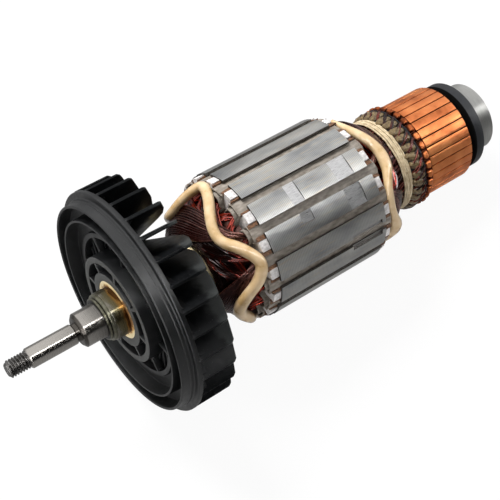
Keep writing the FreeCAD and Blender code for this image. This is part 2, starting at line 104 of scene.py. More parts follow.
def at(x, r, angle):
    """Point at x along the shaft, r from it, at an angle from straight up."""
    turn = math.radians(angle)
    return Vector((x, -r * math.sin(turn), r * math.cos(turn)))


print("length:", round(shaft_rear - shaft_front, 1), "mm; a slot every", slot_step, "degrees")

# %% [markdown]
# ## Naming and picking
# An operator works on whatever is selected, and what it adds comes with a name such as Plane.001. Two
# small helpers deal with that. One names what an operator has just added, the other selects exactly
# the objects that the next operator should touch.

# %% Tools for picking
def fresh(name):
    """Names the object that an operator has just added."""
    made = bpy.context.object
    made.name = name
    made.data.name = name
    return made


def only(*objects):
    """Selects these objects and nothing else."""
    bpy.ops.object.select_all(action="DESELECT")
    for thing in objects:
        thing.select_set(True)
    bpy.context.view_layer.objects.active = objects[0]


# %% [markdown]
# ## Outlines, turned shapes and plates
# Most pieces here are turned, like the real ones. On a lathe a profile is cut while the bar spins, and
# we do the same: a plane is merged to a single point, the point is extruded from corner to corner, and
# the outline is spun about X. Filled and extruded instead, an outline becomes a plate. Doubles are
# then merged and the faces pointed outwards, because a spin can leave both wrong.

# %% Tools for outlines
def trace(name, corners, closed=True):
    """Draws an outline by extruding one point from corner to corner."""
    bpy.ops.object.select_all(action="DESELECT")
    bpy.ops.mesh.primitive_plane_add(size=1)
    made = fresh(name)
    bpy.ops.object.mode_set(mode="EDIT")
    bpy.ops.mesh.select_all(action="SELECT")
    bpy.ops.mesh.merge(type="CENTER")
    bpy.ops.transform.translate(value=Vector(corners[0]))
    for here, there in zip(corners, corners[1:]):
        step = Vector(there) - Vector(here)
        bpy.ops.mesh.extrude_region_move(TRANSFORM_OT_translate={"value": step})
    bpy.ops.mesh.select_all(action="SELECT")
    if closed:
        bpy.ops.mesh.edge_face_add()
    bpy.ops.object.mode_set(mode="OBJECT")
    return made


def tidy_shell(made, threshold=0.001):
    """Merges doubles and points every face outwards."""
    only(made)
    bpy.ops.object.mode_set(mode="EDIT")
    bpy.ops.mesh.select_all(action="SELECT")
    bpy.ops.mesh.remove_doubles(threshold=threshold)
    bpy.ops.mesh.normals_make_consistent(inside=False)
    bpy.ops.object.mode_set(mode="OBJECT")
    return made


def lathe(name, profile, steps=128):
    """Spins an outline of (x, r) corners about the shaft axis."""
    made = trace(name, [(x, 0, r) for x, r in profile])
    bpy.ops.object.mode_set(mode="EDIT")
    bpy.ops.mesh.select_all(action="SELECT")
    bpy.ops.mesh.delete(type="ONLY_FACE")
    bpy.ops.mesh.select_all(action="SELECT")
    bpy.ops.mesh.spin(steps=steps, angle=2 * math.pi, center=(0, 0, 0), axis=(1, 0, 0))
    bpy.ops.object.mode_set(mode="OBJECT")
    return tidy_shell(made)


def slab(name, corners, push):
    """Fills an outline and extrudes it into a closed plate."""
    made = trace(name, corners)
    bpy.ops.object.mode_set(mode="EDIT")
    bpy.ops.mesh.select_all(action="SELECT")
    bpy.ops.mesh.extrude_region_move(TRANSFORM_OT_translate={"value": Vector(push)})
    bpy.ops.object.mode_set(mode="OBJECT")
    return tidy_shell(made)


# %% [markdown]
# ## Edges and copies
# A real edge is never quite sharp, and it always catches a thin line of light. Edges could be picked
# and bevelled by hand, but a Bevel modifier that looks at angles finds them all. What repeats round
# the shaft is modelled once and copied with a turn, and every copy keeps a mesh of its own.

# %% Tools for edges and copies
def modify(made, kind, **settings):
    """Adds one modifier, sets it and applies it."""
    only(made)
    modifier = made.modifiers.new(kind.title(), kind)
    for key, value in settings.items():
        setattr(modifier, key, value)
    bpy.ops.object.modifier_apply(modifier=modifier.name)
    return made


def smooth(made, angle=40):
    """Smooth shading that stops at sharp edges."""
    only(made)
    bpy.ops.object.shade_smooth_by_angle(angle=math.radians(angle))
    return made


def soften(made, width, segments=2, angle=30):
    """Breaks every edge that is sharper than the angle."""
    modify(
        made, "BEVEL", width=width, segments=segments, limit_method="ANGLE",
        angle_limit=math.radians(angle), use_clamp_overlap=True,
    )
    return smooth(made, angle)


def turned_copy(made, angle):
    """A copy with its own mesh, turned about the shaft."""
    copy = made.copy()
    copy.data = made.data.copy()
    copy.data.transform(Matrix.Rotation(math.radians(angle), 4, "X"))
    bpy.context.collection.objects.link(copy)
    return copy


def join(name, parts):
    """Joins parts into one piece."""
    only(*parts)
    if len(parts) > 1:
        bpy.ops.object.join()
    return fresh(name)


def ring_of(name, made, count, first=0.0):
    """Copies a part evenly round the shaft and joins the copies."""
    copies = [turned_copy(made, first + 360.0 * i / count) for i in range(count)]
    bpy.data.objects.remove(made)
    return join(name, copies)


# %% [markdown]
# ## Laying a piece down
# A finished piece goes from the workbench to its real place by a change to its mesh, so the object
# itself stays at the origin, as the frame's own pieces do. Then it is told which body carries it, and
# the frame's nodes that it stands for are hidden.

# %% Tool for laying down
def lay_down(made, body, slot, *nodes):
    """Lays a finished piece in its place, on its body, for the nodes that it stands for."""
    made.data.transform(LAY)
    made.data.update()
    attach(made, body)
    if nodes:
        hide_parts(*nodes)
    return made


# %% [markdown]
# ## Materials that know the shaft
# Grinding marks, lamination lines and heat stains all follow the shaft. A pattern could be painted on
# each piece, but it is simpler to let every material know where it is. A Mapping node turns the
# object's coordinates back from the lie, into the shaft's own millimetres. From there on, x is the
# place along the shaft, and three more measures come from one node each.

# %% Tools for places on a piece
unlay = LAY.inverted()


def node(material, kind, inputs=None, **settings):
    """Adds a node, sets it up and links or fills its inputs."""
    made = material.node_tree.nodes.new(kind)
    for key, value in settings.items():
        setattr(made, key, value)
    for key, value in (inputs or {}).items():
        if isinstance(value, bpy.types.NodeSocket):
            material.node_tree.links.new(value, made.inputs[key])
        else:
            made.inputs[key].default_value = value
    return made


def shaft_space(material, stretch=(1, 1, 1)):
    """Object coordinates as millimetres along and across the shaft, stretched if asked."""
    place = node(material, "ShaderNodeTexCoord").outputs["Object"]
    turn = node(material, "ShaderNodeMapping", {
        "Vector": place, "Location": unlay.translation, "Rotation": unlay.to_euler(),
        "Scale": (1 / MM, 1 / MM, 1 / MM),
    }).outputs["Vector"]
    if tuple(stretch) == (1, 1, 1):
        return turn
    return node(material, "ShaderNodeMapping", {"Vector": turn, "Scale": stretch}).outputs["Vector"]


def vector_maths(material, work, first, second=(0, 0, 0)):
    """One step of arithmetic on vectors."""
    return node(material, "ShaderNodeVectorMath", {0: first, 1: second}, operation=work).outputs


def along_shaft(material):
    """Place along the shaft, in millimetres."""
    return node(material, "ShaderNodeSeparateXYZ", {0: shaft_space(material)}).outputs["X"]


def toward(material, way):
    """Distance from the axis in one direction, in millimetres."""
    return vector_maths(material, "DOT_PRODUCT", shaft_space(material), way)["Value"]


def off_axis(material):
    """Distance from the axis in any direction, in millimetres."""
    flat = vector_maths(material, "MULTIPLY", shaft_space(material), (0, 1, 1))["Vector"]
    return vector_maths(material, "LENGTH", flat)["Value"]


# %% [markdown]
# ## Patterns
# Nearly every pattern here is made of the same few nodes. Noise makes a surface wander, Map Range says
# where a stain starts and ends, a colour ramp turns a number into a tone, and a bump turns it into
# relief. With a short name for each, a finish reads almost like a sentence.

# %% Tools for patterns
def noise(material, scale, detail=4.0, stretch=(1, 1, 1)):
    """Soft noise between 0 and 1, in the shaft's millimetres, stretched if asked."""
    return node(material, "ShaderNodeTexNoise", {
        "Vector": shaft_space(material, stretch), "Scale": scale, "Detail": detail,
    }).outputs["Fac"]


def ramp(material, fac, stops):
    """Colour ramp from (place, colour) stops."""
    made = node(material, "ShaderNodeValToRGB", {"Fac": fac})
    keys = made.color_ramp.elements
    while len(keys) < len(stops):
        keys.new(0.5)
    for key, (place, colour) in zip(keys, stops):
        key.position = place
        key.color = (*colour, 1)
    return made.outputs["Color"]


def fade(material, value, low, high, out_low=0.0, out_high=1.0):
    """Value mapped from one range to another, held at the ends."""
    return node(material, "ShaderNodeMapRange", {
        "Value": value, "From Min": low, "From Max": high, "To Min": out_low, "To Max": out_high,
    }).outputs["Result"]


def blend(material, fac, first, second):
    """Mix of two colours, each plain or from another node."""
    inputs = {0: fac}
    for place, colour in ((6, first), (7, second)):
        inputs[place] = colour if isinstance(colour, bpy.types.NodeSocket) else (*colour, 1)
    return node(material, "ShaderNodeMix", inputs, data_type="RGBA").outputs[2]


def maths(material, work, first, second=0.0):
    """One step of arithmetic."""
    return node(material, "ShaderNodeMath", {0: first, 1: second}, operation=work).outputs["Value"]


def bump(material, height, strength, distance=0.1, under=None):
    """Relief from a height, in the mesh's own metres."""
    inputs = {"Height": height, "Strength": strength, "Distance": distance * MM}
    if under is not None:
        inputs["Normal"] = under
    return node(material, "ShaderNodeBump", inputs).outputs["Normal"]


# %% [markdown]
# ## From patterns to a finish
# A finish starts as a Principled shader with its plain values typed in, and the patterns are linked to
# it afterwards. Plain values stay on the shader itself, where they are easy to find and to bake.

# %% Tools for finishes
def finish(name, metallic=0.0, **sockets):
    """A material with plain values on its shader."""
    material = bpy.data.materials.new(name)
    material.use_nodes = True
    shader = material.node_tree.nodes["Principled BSDF"]
    shader.inputs["Metallic"].default_value = metallic
    for key, value in sockets.items():
        shader.inputs[key.replace("_", " ")].default_value = value
    return material


def wire_up(material, colour=None, roughness=None, normal=None, **others):
    """Links what varies over the surface to the shader."""
    sockets = {"Base Color": colour, "Roughness": roughness, "Normal": normal}
    sockets.update({key.replace("_", " "): value for key, value in others.items()})
    shader = material.node_tree.nodes["Principled BSDF"]
    for key, value in sockets.items():
        if value is not None:
            material.node_tree.links.new(value, shader.inputs[key])
    return material


def paint(made, *materials):
    """Gives a piece its material slots."""
    made.data.materials.clear()
    for material in materials:
        made.data.materials.append(material)
    return made


# %% [markdown]
# ## The sheen of turned steel
# Turning and grinding leave fine rings round a shaft. Each ring spreads a highlight along the shaft, so
# a lamp shows in it as one long bright band. Thousands of real grooves would do that at a high price.
# Anisotropy does it for nothing, once it knows which way is round the shaft: that is the cross product
# of the shaft's own direction and the direction that the surface faces.

# %% Turned sheen
def turned_sheen(material, spread=1.0):
    """Lets a turned surface scatter light along the shaft, as its fine rings do."""
    facing = node(material, "ShaderNodeNewGeometry").outputs["Normal"]
    across = vector_maths(material, "CROSS_PRODUCT", tuple(shaft_way), facing)["Vector"]
    shader = material.node_tree.nodes["Principled BSDF"]
    shader.inputs["Anisotropic"].default_value = spread
    shader.inputs["Anisotropic Rotation"].default_value = 0.25
    return wire_up(material, Tangent=across)


# %% [markdown]
# ## Ground steel and a grimy thread
# Noise that changes fast along the shaft and hardly at all across it gives the grinding marks. The
# pinion seat and the bearing seat are clean, the undercut between them and the seat's front are painted
# dark as shade, and beside the fan the steel was heated when the hub was moulded on, so an olive and
# brown stain creeps along the collar, ending in a painted shadow line where it meets the fan. All of
# these are places along the shaft, which the material can read. The thread is duller, with dirt in it.

# %% Steel finishes
ground_steel = turned_sheen(finish("ground_steel", 1.0))
marks = noise(ground_steel, 1.0, 6.0, (9.0, 0.12, 0.12))
place = along_shaft(ground_steel)
wander = noise(ground_steel, 0.3, 3.0, (1, 0.5, 0.5))
stain_place = maths(ground_steel, "ADD", place, fade(ground_steel, wander, 0.3, 0.7, -1.3, 1.3))
polished = ramp(ground_steel, marks, [(0.25, (0.41, 0.385, 0.355)), (0.75, (0.51, 0.485, 0.45))])
# painted shade: the undercut and the seat's front face are painted dark
undercut_shade_ends = fade(ground_steel, place, seat_front + 0.7, seat_front + 1.0)
undercut_shaded = blend(ground_steel, undercut_shade_ends, (0.11, 0.10, 0.09), polished)
clean = blend(ground_steel, fade(ground_steel, place, pinion_rear - 0.1, pinion_rear + 0.3), polished, undercut_shaded)
# heat stain along the collar; its last, darkest stop, where the collar meets the fan, is a painted shadow
# line
heat_stain_and_shadow = ramp(ground_steel, fade(ground_steel, stain_place, -51.9, -47.3), [
    (0.0, (0.27, 0.25, 0.20)), (0.3, (0.20, 0.175, 0.10)), (0.7, (0.18, 0.14, 0.065)),
    (0.9, (0.36, 0.19, 0.05)), (1.0, (0.10, 0.045, 0.015)),
])
heat_and_shadow_toned = blend(ground_steel, fade(ground_steel, stain_place, -53.0, -51.4), clean, heat_stain_and_shadow)
steel_tone = blend(ground_steel, fade(ground_steel, place, -40.0, -39.0), heat_and_shadow_toned, (0.40, 0.39, 0.38))
wire_up(ground_steel, steel_tone, fade(ground_steel, marks, 0.2, 0.8, 0.24, 0.34))

thread_steel = finish("thread_steel", 1.0)
grime = noise(thread_steel, 0.9, 5.0)
wire_up(
    thread_steel, ramp(thread_steel, grime, [(0.35, (0.10, 0.095, 0.09)), (0.7, (0.30, 0.29, 0.28))]),
    fade(thread_steel, grime, 0.3, 0.7, 0.3, 0.5),
)
print("steel finishes:", ground_steel.name, thread_steel.name)

# %% [markdown]
# ## The shaft
# A shaft like this is one bar, turned to five diameters: thread, pinion seat, bearing seat, the wide
# journal under the core, and the seats behind it. It could be stacked from cylinders, but then every
# step would need its own fillet. One outline on the lathe tool gives all steps and chamfers at once.

# %% The shaft
thread_minor = 2.42
shaft = lathe("shaft_turned", [
    (pinion_front, 0.0), (pinion_front, thread_minor), (pinion_front, 3.05), (pinion_front + 0.45, 3.5),
    (pinion_rear, 3.5), (pinion_rear + 0.4, 3.1), (seat_front, 3.35), (seat_front, 4.9),
    (seat_front + 0.9, seat_r), (seal_front, seat_r), (seal_front, 5.8), (collar_front, 5.8),
    (collar_front, journal_r - 0.1), (collar_front + 0.1, journal_r), (tube_rear, journal_r),
    (tube_rear, seat_r), (bearing_front, seat_r), (bearing_front, bore_r), (shaft_rear - 0.4, bore_r),
    (shaft_rear, 4.6), (shaft_rear, 1.6), (shaft_rear - 1.4, 0.25), (shaft_rear - 1.4, 0.0),
])
soften(shaft, 0.12, 3)
paint(shaft, ground_steel)
print("shaft faces:", len(shaft.data.polygons))

# %% [markdown]
# ## The thread
# A thread is cut as on a real lathe: a tooth's section is carried along a helix, which the Screw
# modifier does. Stacked rings would look alike from afar, but they have no lead. A plain core under the
# helix closes the bottom of the thread, and its chamfered end is the shaft's tip.

# %% The thread
thread_pitch, thread_major = 1.0, 3.0
thread = trace("thread_helix", [
    (shaft_front, 0, thread_minor), (shaft_front + 0.38, 0, thread_major - 0.02),
    (shaft_front + 0.56, 0, thread_major - 0.02), (shaft_front + thread_pitch, 0, thread_minor),
], closed=False)
turns = int((pinion_front - shaft_front) / thread_pitch)
modify(
    thread, "SCREW", axis="X", angle=2 * math.pi, screw_offset=thread_pitch, iterations=turns,
    steps=48, render_steps=48, use_merge_vertices=True, merge_threshold=0.01,
)
root_r = thread_minor + 0.04
tip = lathe("thread_tip", [
    (shaft_front, 0.0), (shaft_front, 1.1), (shaft_front, 2.1), (shaft_front + 0.45, root_r),
    (pinion_front + 0.2, root_r), (pinion_front + 0.2, 0.0),
], 64)
thread = smooth(join("thread_cut", [thread, smooth(tip)]), 35)
lay_down(paint(thread, thread_steel), "rotor", "steel")
lay_down(shaft, "rotor", "steel", "shaft")
print("thread turns:", turns)

# %% [markdown]
# ## The black moulding
# The fan is glass-filled nylon: nearly black, satin rather than shiny, with a faint grain and a few
# specks of dust. Roughness that wanders a little keeps its highlights from looking like wet paint. The
# upper blades get a grey film on their rear edges, partly dust and partly a painted sheen, and behind
# the flange the moulding is duller than on its face. The hub's forward faces have a grey finish of
# their own, partly rubbing wear and partly a painted sheen where the light falls on them.

# %% Plastic finishes
fan_black = finish("fan_black")
grain = noise(fan_black, 7.0, 6.0)
cloud = noise(fan_black, 0.35, 3.0)
speck = fade(fan_black, noise(fan_black, 3.4, 2.0), 0.735, 0.75)
plain_black = ramp(fan_black, cloud, [(0.3, (0.0018, 0.002, 0.0024)), (0.75, (0.005, 0.0055, 0.006))])
place = along_shaft(fan_black)
uneven_place = maths(fan_black, "ADD", place, fade(fan_black, cloud, 0.3, 0.7, -1.0, 1.0))
# painted sheen with dust: the rear edges of the upper blades are painted a lighter grey
on_top = fade(fan_black, toward(fan_black, (0, -0.5, 0.87)), 27.0, 34.0)
dust_and_sheen = maths(fan_black, "MULTIPLY", fade(fan_black, uneven_place, -32.0, -29.5, 0.0, 0.7), on_top)
dust_and_sheen_film = blend(fan_black, dust_and_sheen, plain_black, (0.034, 0.037, 0.036))
wire_up(
    fan_black, blend(fan_black, speck, dust_and_sheen_film, (0.13, 0.125, 0.12)),
    fade(fan_black, cloud, 0.3, 0.7, 0.32, 0.46), bump(fan_black, grain, 0.22, 0.05),
    Specular_IOR_Level=fade(fan_black, place, flange_rear - 1.5, flange_rear + 1.0, 0.65, 0.1),
)

# grey of the hub's forward faces: partly rubbing wear, partly painted sheen
hub_grey_sheen = finish("hub_grey_sheen", 0.0, Specular_IOR_Level=0.4)
rub_and_sheen = noise(hub_grey_sheen, 5.0, 6.0)
wire_up(
    hub_grey_sheen, ramp(hub_grey_sheen, rub_and_sheen, [(0.35, (0.025, 0.026, 0.025)), (0.7, (0.10, 0.101, 0.097))]),
    fade(hub_grey_sheen, rub_and_sheen, 0.3, 0.7, 0.5, 0.7), bump(hub_grey_sheen, rub_and_sheen, 0.3, 0.06),
)
print("plastic finishes:", fan_black.name, hub_grey_sheen.name)

# %% [markdown]
# ## The fan's wheel
# The wheel carries five rings on its face: the outer lip, a thin ring, a stepped rib ring, the hub
# ring and the boss. All of them are turned shapes, so one profile draws the lot. Two ways to go: model
# rings one by one, or trace the whole section. The section is closer to the mould that made it, and it
# leaves no seams.

# %% The fan's wheel
trough, pocket, rib_top = fan_face + 4.7, fan_face + 6.2, fan_face + 3.3
boss_r, boss_rear = 13.0, blade_tip + 1.5
wheel = lathe("wheel", [
    (fan_face, tube_r + 0.03), (fan_face, 13.4), (pocket, 13.6), (pocket, 16.7), (fan_face, 16.9),
    (fan_face, 19.15), (pocket, 19.35), (pocket, 24.3), (rib_top, 24.5), (rib_top, 26.2),
    (trough, 26.5), (trough, 31.1), (fan_face + 0.05, 31.35), (fan_face + 0.05, 32.15), (trough, 32.4),
    (trough, 36.0), (fan_face + 0.3, 36.3), (fan_face, 36.65), (fan_face, 36.95), (fan_face + 0.3, 37.3),
    (fan_face + 2.9, 37.3), (fan_face + 3.15, 37.75), (flange_front - 0.35, 37.75),
    (flange_front, 38.1), (flange_front, fan_r - 0.35), (flange_front + 0.35, fan_r),
    (flange_rear, fan_r), (flange_rear, 26.2), (pocket + 1.4, 24.5), (pocket + 1.4, boss_r),
    (boss_rear, boss_r), (boss_rear, tube_r + 0.03),
], 192)
soften(wheel, 0.28, 3, 25)
print("wheel faces:", len(wheel.data.polygons))

# %% [markdown]
# ## The spokes
# Eight thin walls cross each of the two moats in the face, to stiffen the mould's rings. Each kind is
# one small plate that reaches a little into its rings, and a ring of copies makes the rest.

# %% The spokes
spoke_phase, spoke_count, spoke_wall = -58.5, 8, 1.2
spoke_rings = []
for name, front, inner, outer in (
    ("hub_spoke", fan_face + 0.15, 12.8, 17.3), ("rib", rib_top + 0.1, 18.6, 24.9),
):
    wall = slab(name, [
        (front, -spoke_wall / 2, inner), (front, -spoke_wall / 2, outer),
        (pocket + 0.3, -spoke_wall / 2, outer), (pocket + 0.3, -spoke_wall / 2, inner),
    ], (0, spoke_wall, 0))
    spoke_rings.append(ring_of(name + "s", soften(wall, 0.12), spoke_count, spoke_phase))
spokes = join("spokes", spoke_rings)
print("spokes:", spoke_count, "in each moat")

# %% [markdown]
# ## The fan's blades
# Twenty-nine blades lean back by 25 degrees from their outer edge. Each is a thin plate whose rear edge
# rises towards the middle and then falls away to the hub, and whose outer corner is clipped. One blade
# is drawn flat, given its wall, broken at the edges and leaned. A small rounded root thickens it where
# it grows out of the flange. The rest are copies.

# %% The fan's blades
blade_count, blade_wall, blade_lean, blade_depth = 29, 1.1, 25.0, 34.5
lean = math.radians(blade_lean)
blade_edge = [
    (0.0, flange_rear - 0.5), (0.0, blade_tip - 1.1), (0.8, blade_tip + 0.05), (7.2, blade_tip + 2.45),
    (13.1, blade_tip + 3.6), (16.6, blade_tip + 3.0), (20.0, blade_tip + 1.8), (24.8, blade_tip - 0.1),
    (30.0, blade_tip - 2.0), (33.1, blade_tip - 4.9), (blade_depth, flange_rear - 0.5),
]
side_way = Vector((0, math.cos(lean), math.sin(lean)))
inward_way = Vector((0, math.sin(lean), -math.cos(lean)))


def on_blade(x, inward, aside):
    """Point on a blade that stands at the top: along the shaft, in from the edge, off its middle."""
    return Vector((x, 0, fan_r - 0.02)) + inward_way * inward + side_way * aside


blade = slab("blade", [on_blade(x, s, -blade_wall / 2) for s, x in blade_edge], side_way * blade_wall)
soften(blade, 0.2, 2)
root_profile = [
    (flange_rear - 0.3, -2.3), (flange_rear + 0.25, -1.3), (flange_rear + 1.2, -0.75),
    (flange_rear + 3.0, -0.5),
]
root_profile += [(x, -aside) for x, aside in reversed(root_profile)]
root = slab("blade_root", [on_blade(x, 1.5, aside) for x, aside in root_profile], inward_way * 11.5)
smooth(soften(root, 0.8, 3, 55), 50)
blades = ring_of("blades", join("blade_with_root", [blade, root]), blade_count, 180 + 180.0 / blade_count)
print("blades:", blade_count)

# %% [markdown]
# ## The whole fan
# Wheel, spokes and blades are one moulding, so they are joined. The joined mesh has two finishes: faces
# that look forward on the hub's front get the grey of wear and painted sheen, found by their place.

# %% The whole fan
fan = paint(join("fan_moulding", [wheel, spokes, blades]), fan_black, hub_grey_sheen)
# painted sheen with wear: forward-facing faces of the hub take the grey finish
for face in fan.data.polygons:
    across = math.hypot(face.center.y, face.center.z)
    if face.normal.x < -0.9 and across < 20 and face.center.x < fan_face + 0.3:
        face.material_index = 1
lay_down(fan, "rotor", "fan_plastic", "fan_wheel")
print("fan faces:", len(fan.data.polygons))

# %% [markdown]
# ## The insulating sleeve
# A cream resin sleeve keeps the shaft apart from the core, and its end shows inside the fan's hub.
# Towards the steel it turns orange and then dark brown, most of all on the side that faces up and
# towards the camera. This is a fade by distance from the axis, made uneven by noise, and it is kept to
# the sleeve's front end.

# %% The sleeve
cream_resin = finish("cream_resin", 0.0, Roughness=0.5)
blotch = noise(cream_resin, 0.55, 4.0)
# darker and more orange towards the steel, most on the side facing up and towards the camera
orange_side = fade(cream_resin, toward(cream_resin, (0, -0.707, 0.707)), 7.2, 9.2)
orange_end = fade(cream_resin, along_shaft(cream_resin), fan_face + 0.5, fan_face + 3.0, -1.6, 0.6)
orange_patch = maths(cream_resin, "MULTIPLY", orange_side, orange_end)
wavy = maths(cream_resin, "ADD", fade(cream_resin, blotch, 0.3, 0.7, -0.8, 0.8), orange_patch)
near_steel = fade(cream_resin, maths(cream_resin, "ADD", off_axis(cream_resin), wavy), 8.3, 9.7)
wire_up(cream_resin, ramp(cream_resin, near_steel, [
    (0.0, (0.16, 0.07, 0.02)), (0.25, (0.50, 0.24, 0.06)),
    (0.6, (0.80, 0.60, 0.26)), (1.0, (0.84, 0.70, 0.42)),
]), fade(cream_resin, blotch, 0.3, 0.7, 0.4, 0.6))
sleeve = lathe("sleeve_resin", [
    (fan_face + 0.1, journal_r), (fan_face + 0.1, tube_r), (tube_rear, tube_r), (tube_rear, journal_r),
], 96)
soften(sleeve, 0.15)
lay_down(paint(sleeve, cream_resin), "rotor", "insulation", "shaft_insulation")
print("sleeve faces:", len(sleeve.data.polygons))

# %% [markdown]
# ## The soft ring
# In front of the collar a grey ring seals the shaft: a thin lip, a dark groove and a wider band. It
# could be two rings, but one section shows how they hang together. The groove is darkened by its
# distance from the axis, because too much light still reaches its bottom here.

# %% The soft ring
soft_grey = turned_sheen(finish("soft_grey", 0.85, Specular_IOR_Level=0.6))
haze = noise(soft_grey, 0.8, 3.0)
ring_tone = ramp(soft_grey, haze, [(0.3, (0.13, 0.125, 0.08)), (0.7, (0.27, 0.26, 0.20))])
out_of_groove = fade(soft_grey, off_axis(soft_grey), 6.9, 7.5)
wire_up(
    soft_grey, blend(soft_grey, out_of_groove, (0.012, 0.011, 0.009), ring_tone),
    fade(soft_grey, haze, 0.3, 0.7, 0.36, 0.46),
)
inner_r, groove_r, lip_r, band_r = 5.9, 6.9, 7.55, 8.25
seal = lathe("seal_soft", [
    (seal_front + 0.05, inner_r), (seal_front + 0.05, groove_r),
    (seal_front + 0.3, lip_r), (seal_front + 0.8, lip_r),
    (seal_front + 0.95, groove_r), (seal_front + 1.2, groove_r), (seal_front + 1.25, band_r - 0.15),
    (seal_front + 1.5, band_r), (collar_front - 0.02, band_r), (collar_front - 0.02, inner_r),
], 96)
soften(seal, 0.12, 2)
lay_down(paint(seal, soft_grey), "rotor", "rubber_grey", "sealing_ring")
print("soft ring faces:", len(seal.data.polygons))

# %% [markdown]
# ## Finishes of the laminated core
# The core is ninety sheets of steel, half a millimetre each, pressed on and ground round. From close by
# the sheets show as hair lines across every crown, which a wave texture along the shaft draws better
# than ninety real gaps. Some crowns were milled for balance, which leaves brighter flats. The sides of
# the teeth are bare, dark cuts.

# %% Core finishes
def sheet_lines(material, pitch=0.6):
    """Hair lines between the sheets, one each pitch along the shaft."""
    waves_per_unit = 3.1831
    wave = node(material, "ShaderNodeTexWave", {
        "Vector": shaft_space(material), "Scale": 1.0 / pitch / waves_per_unit, "Distortion": 0.6,
        "Detail": 2.0, "Detail Scale": 1.5,
    }, wave_type="BANDS", bands_direction="X")
    return wave.outputs["Fac"]


crown_steel = turned_sheen(finish("crown_steel", 0.85), 0.8)
lines = sheet_lines(crown_steel)
patch = noise(crown_steel, 0.16, 4.0, (0.35, 1.0, 1.0))
streak = noise(crown_steel, 1.0, 5.0, (0.1, 2.2, 2.2))
base = ramp(crown_steel, patch, [
    (0.32, (0.26, 0.265, 0.27)), (0.5, (0.42, 0.42, 0.41)), (0.7, (0.58, 0.57, 0.54)),
])
stained = blend(crown_steel, fade(crown_steel, streak, 0.56, 0.72, 0.0, 0.55), base, (0.60, 0.47, 0.28))
lined = blend(crown_steel, fade(crown_steel, lines, 0.0, 0.4, 0.45, 0.0), stained, (0.12, 0.12, 0.12))
wire_up(
    crown_steel, lined, fade(crown_steel, patch, 0.3, 0.7, 0.32, 0.48),
    bump(crown_steel, lines, 0.25, 0.03, bump(crown_steel, streak, 0.2, 0.03)),
)

milled_steel = finish("milled_steel", 1.0)
mill = noise(milled_steel, 1.0, 5.0, (0.5, 7.0, 7.0))
mill_relief = bump(milled_steel, sheet_lines(milled_steel), 0.25, 0.03, bump(milled_steel, mill, 0.2, 0.03))
wire_up(
    milled_steel, ramp(milled_steel, mill, [(0.3, (0.30, 0.30, 0.30)), (0.7, (0.54, 0.535, 0.54))]),
    fade(milled_steel, mill, 0.3, 0.7, 0.26, 0.42), mill_relief,
)

cut_steel = finish("cut_steel", 1.0, Roughness=0.5)
cut_noise = noise(cut_steel, 1.4, 4.0)
wire_up(cut_steel, ramp(cut_steel, cut_noise, [(0.3, (0.07, 0.065, 0.06)), (0.7, (0.16, 0.15, 0.14))]))
print("core finishes:", crown_steel.name, milled_steel.name, cut_steel.name)

# %% [markdown]
# ## The core
# Slots, crowns and milled flats are already in the frame, exact to the drawing, so drawing them again
# would only bring errors. The frame's mesh is loose triangles, though, and is left alone. A merged copy
# is cleaned up and its edges are broken. Then its faces are sorted: what looks away from the axis at
# full radius is crown, what lies a little lower is milled, and the rest is bare side.

# %% The core
def clean_copy(name, source):
    """A merged copy of a frame mesh, back along the shaft, with its flat faces whole again."""
    made = frame["nodes"][source].copy()
    made.data = frame["nodes"][source].data.copy()
    made.parent = None
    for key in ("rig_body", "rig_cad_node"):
        del made[key]
    made.name = name
    made.data.name = name
    bpy.context.collection.objects.link(made)
    made.data.transform(unlay)
    only(made)
    bpy.ops.object.mode_set(mode="EDIT")
    bpy.ops.mesh.select_all(action="SELECT")
    bpy.ops.mesh.remove_doubles(threshold=0.004)
    bpy.ops.mesh.dissolve_limited(angle_limit=math.radians(0.6))
    bpy.ops.object.mode_set(mode="OBJECT")
    if made.data.has_custom_normals:
        bpy.ops.mesh.customdata_custom_splitnormals_clear()
    return made


core = soften(clean_copy("core_stack", "lamination_stack"), 0.1, 2, 20)
paint(core, crown_steel, milled_steel, cut_steel)
milled = 0
for face in core.data.polygons:
    out = Vector((0, face.center.y, face.center.z))
    reach = out.length
    outward = face.normal.dot(out.normalized())
    if outward < 0.9 or reach < 25:
        face.material_index = 2
    elif reach < core_r - 0.12 or outward < 0.9985:
        face.material_index = 1
        milled += 1
lay_down(core, "rotor", "lamination", "lamination_stack")
print("core faces:", len(core.data.polygons), "milled:", milled)

# %% [markdown]
# ## Paper, fibre, cord and the plainer steels
# The rest of the finishes are soft, woven or plain. Each wanders between a dark and a light tone, and
# the relief follows the same pattern, so a light spot is also a raised spot. One helper makes them all,
# and each finish below is no more than its two tones, the size of its spots and its gloss.

# %% Soft finishes
def mottled(
    name, dark, light, scale=0.6, metallic=0.0, rough=(0.4, 0.6), relief=0.2, stretch=(1, 1, 1), **sockets,
):
    """A finish that wanders between two colours, with relief that follows."""
    material = finish(name, metallic, **sockets)
    spots = noise(material, scale, 5.0, stretch)
    return wire_up(
        material, ramp(material, spots, [(0.3, dark), (0.7, light)]),
        fade(material, spots, 0.3, 0.7, *rough), bump(material, spots, relief, 0.05),
    )


